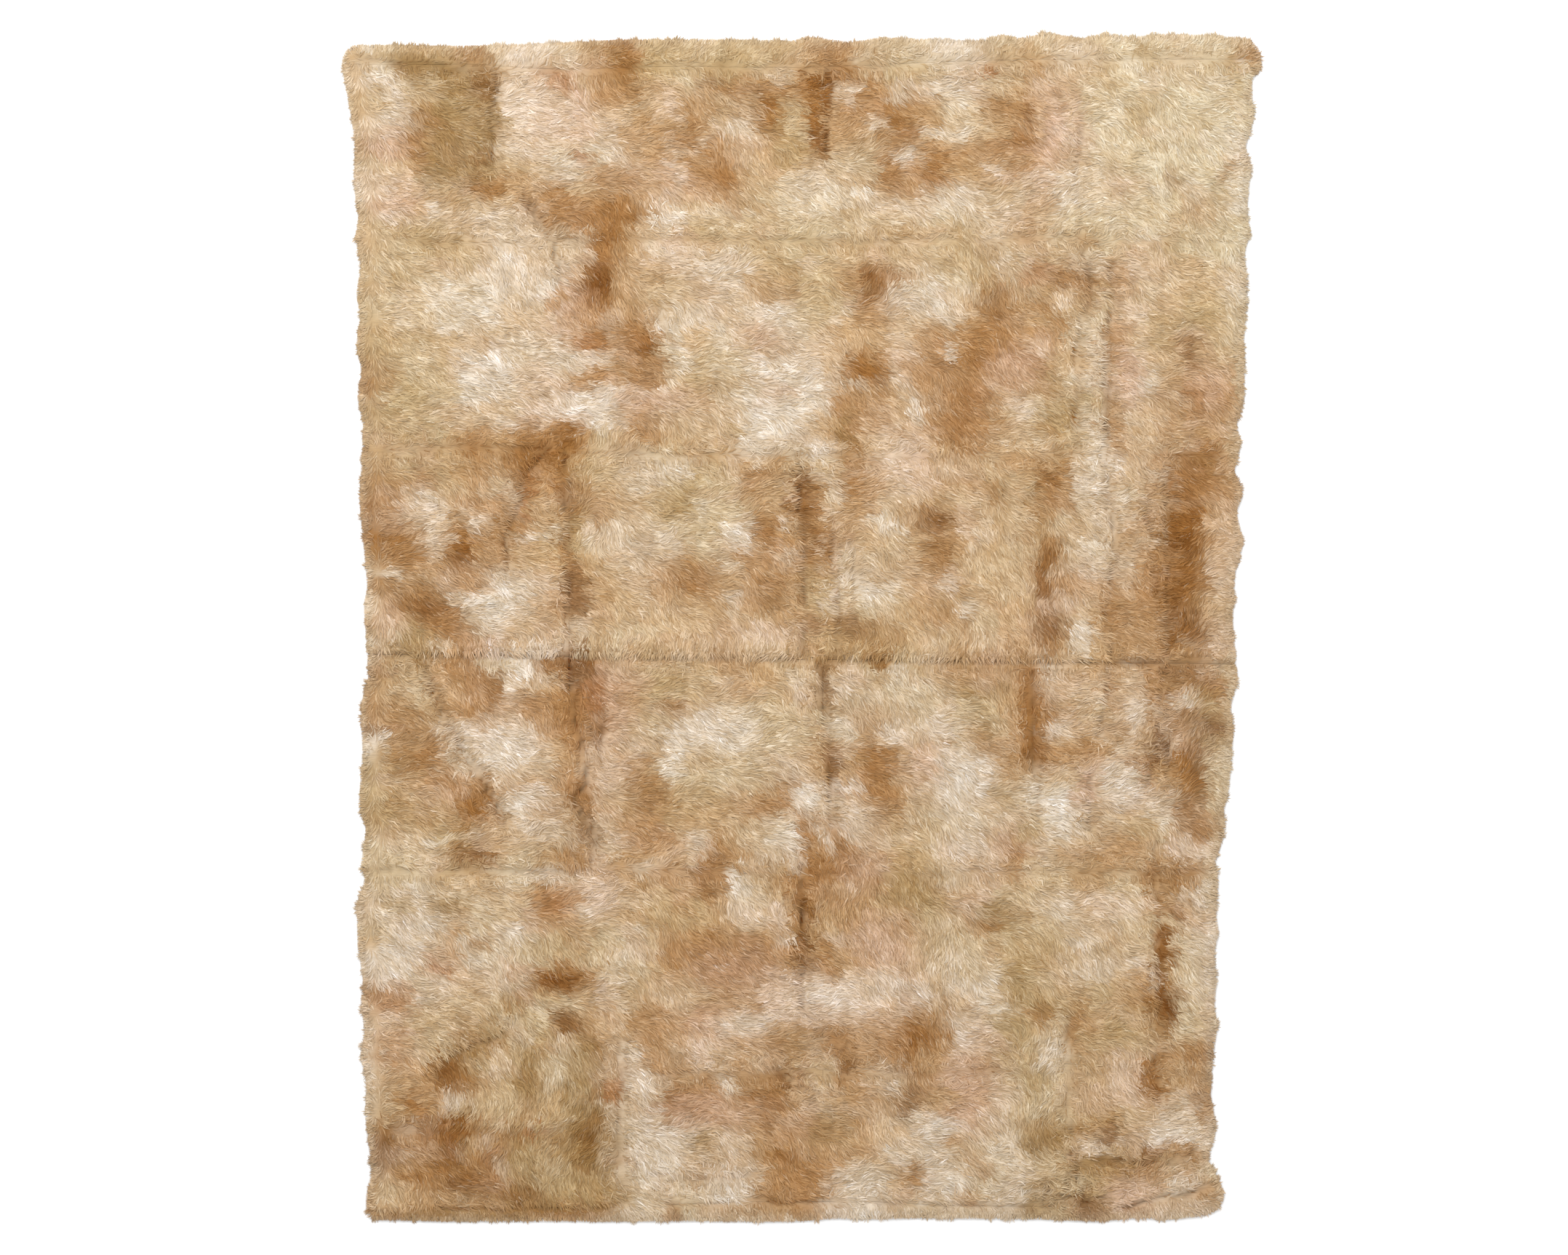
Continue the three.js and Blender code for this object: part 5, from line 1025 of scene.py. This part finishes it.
def pileLocks():
    s, jitter, middle = locks["spacing"], locks["jitter"], locks["middle"]
    gx, gy = np.meshgrid(np.arange(-field["x"], field["x"], s), np.arange(-field["y"], field["y"], s))
    gx[1::2] += s / 2
    x = gx.ravel() + rng.uniform(-jitter, jitter, gx.size) * s
    y = gy.ravel() + rng.uniform(-jitter, jitter, gy.size) * s
    inside = edgeDistance(x, y) > locks["inset"]
    x, y = x[inside], y[inside]
    n = len(x)
    drop = dropAt(x, y)
    rim = np.clip(1 - edgeDistance(x, y) / locks["rimWidth"], 0, 1)
    dirX, dirY = leaning(x, y, combAngle(x, y) + rng.normal(0, locks["stray"], n), rim)
    centreX, centreY, heart = clumps(x, y)
    inPart = 1 - locks["partShorter"] * np.clip(drop / locks["partDeep"], 0, 1)
    length = between(locks["length"], rng.random(n)) * inPart * (1 - locks["rimShorter"] * rim)
    tipX, tipY = x + dirX * length, y + dirY * length
    gather = locks["gather"] * rng.random(n) * (1 - rim)
    tipX += gather * (centreX + dirX * length - tipX)
    tipY += gather * (centreY + dirY * length - tipY)
    over = edgeDistance(tipX, tipY)
    back = np.where(over < -locks["overhang"], (-locks["overhang"] - over) / np.maximum(length, 1), 0)
    tipX, tipY = tipX - back * (tipX - x), tipY - back * (tipY - y)
    bend = layered(0, x, y, locks["bends"]) + locks["frizz"] * rng.normal(0, 1, n)
    bend = locks["curl"] * bend * length
    middleX = x + middle * (tipX - x) - dirY * bend
    middleY = y + middle * (tipY - y) + dirX * bend
    half = between(locks["halfWidth"], rng.random(n))
    heap = locks["heap"] * (heart - 0.5) + rng.uniform(-locks["heapJitter"], locks["heapJitter"], n)
    zRoot = fromNet(netHeight, x, y) - locks["rootDepth"]
    zMiddle = fromNet(netHeight, middleX, middleY) + between(locks["lift"], rng.random(n)) + heap
    zTip = fromNet(netHeight, tipX, tipY) + between(locks["tipLift"], rng.random(n))
    zTip += locks["tipHeap"] * heap
    zTip -= locks["rimDroop"] * rim * np.clip(-edgeDistance(tipX, tipY) / locks["droopAt"], 0, 1)
    colour = pileColour(x, y, (dirX, dirY), (centreX, centreY), heart, drop, rim)
    places = ((x, y), (middleX, middleY), (tipX, tipY))
    return {"x": (x, middleX, tipX), "y": (y, middleY, tipY), "z": (zRoot, zMiddle, zTip), "half": half,
            "tilt": rng.normal(0, locks["tilt"], n), "colour": colour, "side": (-dirY, dirX),
            "shades": np.stack([fromNet(netShade, *place) for place in places], 1)}


# Loose hair at the rim: rings of locks, one above the other, that lean outward
loose = {
    "x": 775, "y": 1003, "rings": 5, "step": 1.7, "out": (4.0, 13.0), "inset": 0.6, "jitter": 0.8,
    "from": -0.4, "to": 2.2, "spread": 0.45, "tuft": 0.75, "foot": 1.0, "droop": 0.55,
    "floor": 0.4, "arch": 0.12, "bends": [(0.5, 14, 14, 64)],
    "halfWidth": (0.6, 1.0), "tilt": 0.3, "inward": 6, "uneven": 0.07, "keep": 0.72, "cream": 0.22,
}


def rimLocks():
    found = []
    inset, jitter = loose["inset"], loose["jitter"]
    ys = np.arange(-loose["y"], loose["y"], loose["step"])
    xs = np.arange(-loose["x"], loose["x"], loose["step"])
    for ring in range(loose["rings"]):
        found.append((leftEdge(ys) + inset, ys, np.full(len(ys), ring)))
        found.append((rightEdge(ys) - inset, ys, np.full(len(ys), ring)))
        found.append((xs, topEdge(xs) - inset, np.full(len(xs), ring)))
        found.append((xs, bottomEdge(xs) + inset, np.full(len(xs), ring)))
    x, y, ring = (np.concatenate(part) for part in zip(*found))
    x, y = x + rng.uniform(-jitter, jitter, len(x)), y + rng.uniform(-jitter, jitter, len(x))
    d = edgeDistance(x, y)
    keep = (d > loose["from"]) & (d < loose["to"])
    x, y, ring = x[keep], y[keep], ring[keep]
    n = len(x)
    outX, outY = fall(edgeDistance, x, y, locks["rimStep"])
    size = np.maximum(np.hypot(outX, outY), tiny)
    lean = layered(rng.normal(0, loose["spread"], n), x, y, loose["bends"])
    dirX = (outX * np.cos(lean) - outY * np.sin(lean)) / size
    dirY = (outX * np.sin(lean) + outY * np.cos(lean)) / size
    tuft = layered(loose["tuft"], x, y, [(loose["tuft"], 8, 8, 65)])
    out = between(loose["out"], rng.random(n)) * np.clip(tuft, 0.3, 1.3)
    zRoot = loose["foot"] + (pile["rimHeight"] - 0.6) * (ring + rng.random(n)) / loose["rings"]
    zTip = np.maximum(zRoot - out * rng.uniform(0.0, loose["droop"], n), loose["floor"])
    zMiddle = 0.5 * (zRoot + zTip) + loose["arch"] * out
    inward = loose["inward"]
    colour = dye(x - inward * dirX, y - inward * dirY) * (1 + rng.normal(0, loose["uneven"], n))[:, None]
    colour = colour * loose["keep"] + loose["cream"] * linear(tones["cream"])
    return {"x": (x, x + 0.5 * out * dirX, x + out * dirX), "y": (y, y + 0.5 * out * dirY, y + out * dirY),
            "z": (zRoot, zMiddle, zTip), "half": rng.uniform(*loose["halfWidth"], n),
            "tilt": rng.normal(0, loose["tilt"], n), "colour": colour, "side": (-dirY, dirX),
            "shades": np.zeros((n, 3))}


# Each place belongs to a piece: 0 to 3 are the upper plates, 4 to 7 the lower ones, 8 and 9 the borders
def nodeOf(x, y):
    top, bottom = along(borderSeams["top"], x), along(borderSeams["bottom"], x)
    upper = np.searchsorted(plateSeams["upper"], x)
    lower = np.searchsorted(plateSeams["lower"], x) + 4
    which = np.where(y > middleSeam(x), upper, lower)
    return np.where(y > top, 8, np.where(y < bottom, 9, which))


def unselect():
    bpy.ops.object.select_all(action="DESELECT")


# A blade's corners are root, right, tip, left. Each takes a gain, painted shade at the root and painted light
# at the tip, and the painted shade of its third of the lock where the pile parts
blade = {
    "gains": ((locks["rootShade"], 0), (1.0, 1), (locks["tipLight"], 2), (1.0, 1)),
    "partShadeTint": np.array([0.74, 1.0, 1.25]), "floor": 0.3, "strandStart": 400,
    "bakeCell": np.array([(0.08, 0.5), (0.5, 0.08), (0.92, 0.5), (0.5, 0.92)]),
}


def bladeCorners(part, chosen):
    half, tilt = part["half"][chosen], part["tilt"][chosen]
    sideX, sideY = part["side"][0][chosen], part["side"][1][chosen]
    xs, ys, zs = ([v[chosen] for v in part[k]] for k in ("x", "y", "z"))
    rise, flat = half * np.sin(tilt), half * np.cos(tilt)
    root = np.stack([xs[0], ys[0], zs[0]], 1)
    right = np.stack([xs[1] - sideX * flat, ys[1] - sideY * flat, zs[1] - rise], 1)
    tip = np.stack([xs[2], ys[2], zs[2]], 1)
    left = np.stack([xs[1] + sideX * flat, ys[1] + sideY * flat, zs[1] + rise], 1)
    return np.stack([root, right, tip, left], 1), half, np.hypot(xs[2] - xs[0], ys[2] - ys[0])


def setUv(mesh, name, uv):
    mesh.uv_layers.new(name=name).data.foreach_set("uv", uv.reshape(-1).astype(np.float32))


def addLocks(name, parts, keep):
    groups = [(*bladeCorners(part, chosen), part["colour"][chosen], part["shades"][chosen])
              for part, chosen in zip(parts, keep)]
    corners, wide, long, colour, shades = (np.concatenate(each) for each in zip(*groups))
    corners[:, :, 2] = np.maximum(corners[:, :, 2], blade["floor"])
    n = len(corners)
    mesh = bpy.data.meshes.new(name)
    mesh.vertices.add(4 * n)
    mesh.vertices.foreach_set("co", (corners.reshape(-1) / 1000).astype(np.float32))
    mesh.loops.add(4 * n)
    mesh.loops.foreach_set("vertex_index", np.arange(4 * n, dtype=np.int32))
    mesh.polygons.add(n)
    mesh.polygons.foreach_set("loop_start", np.arange(0, 4 * n, 4, dtype=np.int32))
    dyed = np.ones((n, 4, 4), np.float32)
    for corner, (gain, third) in enumerate(blade["gains"]):
        partingShadeGain = 1 - shades[:, third, None] * blade["partShadeTint"]
        dyed[:, corner, :3] = np.clip(colour * gain * partingShadeGain, 0, 1)
    # The dye attribute holds the dye with the painted shade and light laid into it
    mesh.attributes.new("dye", "FLOAT_COLOR", "POINT").data.foreach_set("color", dyed.reshape(-1))
    cells = math.ceil(math.sqrt(n))
    cell = np.stack([np.arange(n) % cells, np.arange(n) // cells], 1)
    setUv(mesh, "OFBake", (cell[:, None, :] + blade["bakeCell"][None]) / cells)
    startU, startV = (rng.uniform(0, blade["strandStart"], n) for _ in range(2))
    strandU = np.stack([startU, startU + wide, startU, startU - wide], 1)
    midV = startV + locks["middle"] * long
    strandV = np.stack([startV, midV, startV + long, midV], 1)
    setUv(mesh, "strand", np.stack([strandU, strandV], 2))
    mesh.update(calc_edges=True)
    piece = bpy.data.objects.new(name, mesh)
    scene.collection.objects.link(piece)
    piece.data.materials.append(lockFur)
    return piece


# Each plate and border: a closed sheet whose top follows the pile, with its backing laid on the floor
# The underfur's tone and its darkening along the partings are painted shade
sheets = {
    "net": 9.0, "under": 0.4, "seamGap": 0.15, "smoothTo": 50, "tone": 0.92, "partShade": 0.6,
    "cornerSteps": 6, "cornerStep": 2, "cornerMost": 30, "cornerShare": 0.9,
    "uvSpan": 2.1, "uvEdge": 0.01, "uvUnder": [0.51, 0.01], "cuts": 60,
    "settleSteps": 3, "underFace": -0.9,
}


def shifted(line, by):
    return lambda at: line(at) + by


def straight(value):
    return lambda at: np.full_like(at, value)


def borderSeam(end):
    return lambda x: along(borderSeams[end], x)


def sheetEdges(index):
    gap = sheets["seamGap"]
    if index == 8:
        return leftEdge, rightEdge, shifted(borderSeam("top"), gap), topEdge
    if index == 9:
        return leftEdge, rightEdge, bottomEdge, shifted(borderSeam("bottom"), -gap)
    seams = plateSeams["upper" if index < 4 else "lower"]
    place = index % 4
    left = leftEdge if place == 0 else straight(seams[place - 1] + gap)
    right = rightEdge if place == 3 else straight(seams[place] - gap)
    if index < 4:
        return left, right, shifted(middleSeam, gap), shifted(borderSeam("top"), -gap)
    return left, right, shifted(borderSeam("bottom"), gap), shifted(middleSeam, -gap)


def roundCorners(x, y):
    d = edgeDistance(x, y)
    for _ in range(sheets["cornerSteps"]):
        outX, outY = fall(edgeDistance, x, y, sheets["cornerStep"])
        over = np.clip(-d, 0, sheets["cornerMost"])
        x, y = x - outX * over * sheets["cornerShare"], y - outY * over * sheets["cornerShare"]
        d = edgeDistance(x, y)
    return x, y


def readMesh(items, field, width, kind=np.float32):
    values = np.empty(len(items) * width, kind)
    items.foreach_get(field, values)
    return values.reshape(-1, width) if width > 1 else values


def closeSheet():
    bpy.ops.object.mode_set(mode="EDIT")
    bpy.ops.mesh.select_all(action="SELECT")
    bpy.ops.mesh.region_to_loop()
    bpy.ops.mesh.extrude_region_move()
    bpy.ops.transform.resize(value=(1, 1, 0), center_override=(0, 0, sheets["under"] / 1000))
    bpy.ops.mesh.edge_face_add()
    bpy.ops.mesh.select_all(action="SELECT")
    bpy.ops.mesh.normals_make_consistent(inside=False)
    bpy.ops.object.mode_set(mode="OBJECT")
    bpy.ops.object.shade_smooth_by_angle(angle=math.radians(sheets["smoothTo"]))


def dyeAndShadeSheet(mesh, at):
    # Painted shade: the underfur under the locks is 8% darker, and darker still along the lines where the
    # pile parts
    tone = sheets["tone"] - sheets["partShade"] * fromNet(netShade, at[:, 0], at[:, 1])
    colour = dye(at[:, 0], at[:, 1]) * tone[:, None]
    dyed = np.concatenate([colour, np.ones((len(at), 1))], 1).astype(np.float32)
    mesh.attributes.new("dye", "FLOAT_COLOR", "POINT").data.foreach_set("color", dyed.reshape(-1))


# The upper side and the underside each get their own half of the map
def mapSheet(mesh, at, isUnder, corner, size):
    loops = readMesh(mesh.loops, "vertex_index", 1, np.int32)
    under = np.repeat(isUnder, readMesh(mesh.polygons, "loop_total", 1, np.int32))
    spread = (at[loops][:, :2] - corner) / (size * sheets["uvSpan"])
    uv = spread + sheets["uvEdge"]
    uv[under] = spread[under] + sheets["uvUnder"]
    setUv(mesh, "OFBake", uv)


def addSheet(name, node, index):
    low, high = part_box(node)
    left, right, bottom, top = sheetEdges(index)
    wide, tall = (high[0] - low[0]) * 1000, (high[1] - low[1]) * 1000
    nx, ny = max(int(wide / sheets["net"]), 2), max(int(tall / sheets["net"]), 4)
    unselect()
    bpy.ops.mesh.primitive_grid_add(x_subdivisions=nx, y_subdivisions=ny, size=1.0, location=(0, 0, 0))
    piece = bpy.context.object
    piece.name = piece.data.name = name
    mesh = piece.data
    u, v = readMesh(mesh.vertices, "co", 3).astype(float)[:, :2].T + 0.5
    middle = np.full_like(u, (low[1] + high[1]) * 500)
    x = left(middle) + (right(middle) - left(middle)) * u
    for _ in range(sheets["settleSteps"]):
        y = bottom(x) + (top(x) - bottom(x)) * v
        x = left(y) + (right(y) - left(y)) * u
    x, y = roundCorners(x, y)
    z = fromNet(netHeight, x, y)
    mesh.vertices.foreach_set("co", (np.stack([x, y, z], 1).reshape(-1) / 1000).astype(np.float32))
    closeSheet()
    at = readMesh(mesh.vertices, "co", 3).astype(float) * 1000
    dyeAndShadeSheet(mesh, at)
    isUnder = readMesh(mesh.polygons, "normal", 3)[:, 2] < sheets["underFace"]
    mesh.materials.append(underFur)
    mesh.materials.append(backing)
    mesh.polygons.foreach_set("material_index", isUnder.astype(np.int32))
    mapSheet(mesh, at, isUnder, [low[0] * 1000, low[1] * 1000], max(wide, tall))
    mesh.update()
    cut = np.linspace(left(middle)[0], right(middle)[0], sheets["cuts"])
    return piece, ((cut[-1] - cut[0]) / 1000, float(np.mean(top(cut) - bottom(cut))) / 1000)


# Materials: one group gives every hair surface its streaks, and another gives the backing its knit
def addNode(nodes, kind, values=None, operation=None):
    node = nodes.new(kind)
    if operation:
        node.operation = operation
    for socket, value in (values or {}).items():
        node.inputs[socket].default_value = value
    return node


def wire(links, wires):
    for source, given, target, taken in wires:
        links.new(source.outputs[given], target.inputs[taken])


def newMaterial(name):
    material = bpy.data.materials.new(name)
    material.use_nodes = True
    return material, material.node_tree.nodes, material.node_tree.links


def buildStreaks():
    group = bpy.data.node_groups.new("furStreaks", "ShaderNodeTree")
    face, nodes = group.interface, group.nodes
    face.new_socket("Dye", in_out="INPUT", socket_type="NodeSocketColor")
    face.new_socket("Vector", in_out="INPUT", socket_type="NodeSocketVector")
    for label, start in (("Strength", 0.2), ("Along", 60.0), ("Across", 700.0)):
        face.new_socket(label, in_out="INPUT", socket_type="NodeSocketFloat").default_value = start
    for label, kind in (("Colour", "Color"), ("Roughness", "Float"), ("Height", "Float")):
        face.new_socket(label, in_out="OUTPUT", socket_type="NodeSocket" + kind)
    given, shown = nodes.new("NodeGroupInput"), nodes.new("NodeGroupOutput")
    where = nodes.new("ShaderNodeTexCoord")
    scale = nodes.new("ShaderNodeCombineXYZ")
    stretch = addNode(nodes, "ShaderNodeVectorMath", operation="MULTIPLY")
    streak = addNode(nodes, "ShaderNodeTexNoise", {"Scale": 1.0, "Detail": 3.0})
    patch = addNode(nodes, "ShaderNodeTexNoise", {"Scale": 45.0, "Detail": 2.0})
    both = addNode(nodes, "ShaderNodeMath", {1: 0.45}, "MULTIPLY_ADD")
    gain = addNode(nodes, "ShaderNodeMapRange", {"From Min": 0.45, "From Max": 1.0})
    low = addNode(nodes, "ShaderNodeMath", {0: 1.0}, "SUBTRACT")
    high = addNode(nodes, "ShaderNodeMath", {1: 0.35, 2: 1.0}, "MULTIPLY_ADD")
    tint = addNode(nodes, "ShaderNodeVectorMath", operation="SCALE")
    rough = addNode(nodes, "ShaderNodeMapRange", {"To Min": 0.62, "To Max": 0.85})
    wire(group.links, [
        (given, "Across", scale, "X"), (given, "Along", scale, "Y"), (given, "Across", scale, "Z"),
        (given, "Vector", stretch, 0), (scale, "Vector", stretch, 1), (stretch, "Vector", streak, "Vector"),
        (where, "Object", patch, "Vector"), (patch, "Fac", both, 0), (streak, "Fac", both, 2),
        (both, "Value", gain, "Value"), (given, "Strength", low, 1), (given, "Strength", high, 0),
        (low, "Value", gain, "To Min"), (high, "Value", gain, "To Max"), (given, "Dye", tint, 0),
        (gain, "Result", tint, "Scale"), (streak, "Fac", rough, "Value"), (tint, "Vector", shown, "Colour"),
        (rough, "Result", shown, "Roughness"), (both, "Value", shown, "Height"),
    ])
    return group


def furMaterial(name, strength, acrossHairs, alongHairs, bumpDepth, strandMap):
    material, nodes, links = newMaterial(name)
    shader = nodes["Principled BSDF"]
    shader.inputs["Specular IOR Level"].default_value = 0.06
    # The dye attribute holds the dye with painted shade and light in it
    tone = nodes.new("ShaderNodeAttribute")
    tone.attribute_name = "dye"
    hairs = nodes.new("ShaderNodeGroup")
    hairs.node_tree = streaks
    hairs.inputs["Strength"].default_value = strength
    hairs.inputs["Along"].default_value = alongHairs
    hairs.inputs["Across"].default_value = acrossHairs
    bump = addNode(nodes, "ShaderNodeBump", {"Strength": 0.6, "Distance": bumpDepth})
    if strandMap:
        where = nodes.new("ShaderNodeUVMap")
        where.uv_map = "strand"
    else:
        where = nodes.new("ShaderNodeTexCoord")
    wire(links, [
        (where, "UV" if strandMap else "Object", hairs, "Vector"), (tone, "Color", hairs, "Dye"),
        (hairs, "Colour", shader, "Base Color"), (hairs, "Roughness", shader, "Roughness"),
        (hairs, "Height", bump, "Height"), (bump, "Normal", shader, "Normal"),
    ])
    return material


def knitMaterial():
    material, nodes, links = newMaterial("knitBacking")
    shader = nodes["Principled BSDF"]
    where = nodes.new("ShaderNodeTexCoord")
    ribs = addNode(nodes, "ShaderNodeTexWave", {"Scale": 180.0, "Distortion": 1.2})
    rows = addNode(nodes, "ShaderNodeTexWave", {"Scale": 240.0, "Distortion": 0.8})
    rows.bands_direction = "Y"
    loops = addNode(nodes, "ShaderNodeMath", operation="MULTIPLY")
    ramp = nodes.new("ShaderNodeValToRGB")
    ramp.color_ramp.elements[0].color = (*linear((188, 160, 122)), 1)
    ramp.color_ramp.elements[1].color = (*linear((214, 192, 158)), 1)
    rough = addNode(nodes, "ShaderNodeMapRange", {"To Min": 0.95, "To Max": 0.8})
    bump = addNode(nodes, "ShaderNodeBump", {"Strength": 0.7, "Distance": 0.0006})
    wire(links, [
        (where, "Object", ribs, "Vector"), (where, "Object", rows, "Vector"),
        (ribs, "Fac", loops, 0), (rows, "Fac", loops, 1), (loops, "Value", ramp, "Fac"),
        (loops, "Value", rough, "Value"), (loops, "Value", bump, "Height"),
        (ramp, "Color", shader, "Base Color"), (rough, "Result", shader, "Roughness"),
        (bump, "Normal", shader, "Normal"),
    ])
    return material


streaks = buildStreaks()
underFur = furMaterial("underFur", strength=0.2, acrossHairs=70.0, alongHairs=520.0, bumpDepth=0.0012,
                       strandMap=False)
lockFur = furMaterial("lockFur", strength=0.32, acrossHairs=2.2, alongHairs=0.07, bumpDepth=0.0003,
                      strandMap=True)
backing = knitMaterial()
print("materials made")

# The pieces: one sheet and one mesh of locks for each node of the frame
nodeNames = [
    "plate_upper_left", "plate_upper_mid_left", "plate_upper_mid_right", "plate_upper_right",
    "plate_lower_left", "plate_lower_mid_left", "plate_lower_mid_right", "plate_lower_right",
    "border_top", "border_bottom",
]
lying, rim = pileLocks(), rimLocks()
lyingNode, rimNode = nodeOf(lying["x"][0], lying["y"][0]), nodeOf(rim["x"][0], rim["y"][0])
print("locks combed:", len(lyingNode), "on the pile and", len(rimNode), "at the rim")

for index, node in enumerate(nodeNames):
    sheetPiece, flat = addSheet("sheet_" + node, node, index)
    lockPiece = addLocks("locks_" + node, (lying, rim), (lyingNode == index, rimNode == index))
    for piece in (sheetPiece, lockPiece):
        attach(piece, "root")
        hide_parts(node)
print("sheets and locks made")


# Studio: a pale floor, a wide soft light from the throw's top left and an even fill
studio = {"floor": 0.93, "fill": 0.95, "key": 150.5, "keySize": 3.2, "keyAt": (-0.7, 2.35, 4.1),
          "floorSize": 40, "floorRough": 0.9}

unselect()
bpy.ops.mesh.primitive_plane_add(size=studio["floorSize"], location=(0, 0, 0))
floor = bpy.context.object
floor.name = "floor"
paper = bpy.data.materials.new("paper")
paper.use_nodes = True
paper.node_tree.nodes["Principled BSDF"].inputs["Base Color"].default_value = (*[studio["floor"]] * 3, 1)
paper.node_tree.nodes["Principled BSDF"].inputs["Roughness"].default_value = studio["floorRough"]
floor.data.materials.append(paper)

world = bpy.data.worlds.new("studio")
scene.world = world
world.use_nodes = True
world.node_tree.nodes["Background"].inputs["Color"].default_value = (1, 1, 1, 1)
world.node_tree.nodes["Background"].inputs["Strength"].default_value = studio["fill"]

keyData = bpy.data.lights.new("key", "AREA")
keyData.energy = studio["key"]
keyData.size = studio["keySize"]
keyObj = bpy.data.objects.new("key", keyData)
keyObj.location = studio["keyAt"]
aim = -keyObj.location.normalized()
keyObj.rotation_euler = aim.to_track_quat("-Z", "Y").to_euler()
scene.collection.objects.link(keyObj)
print("studio lit")
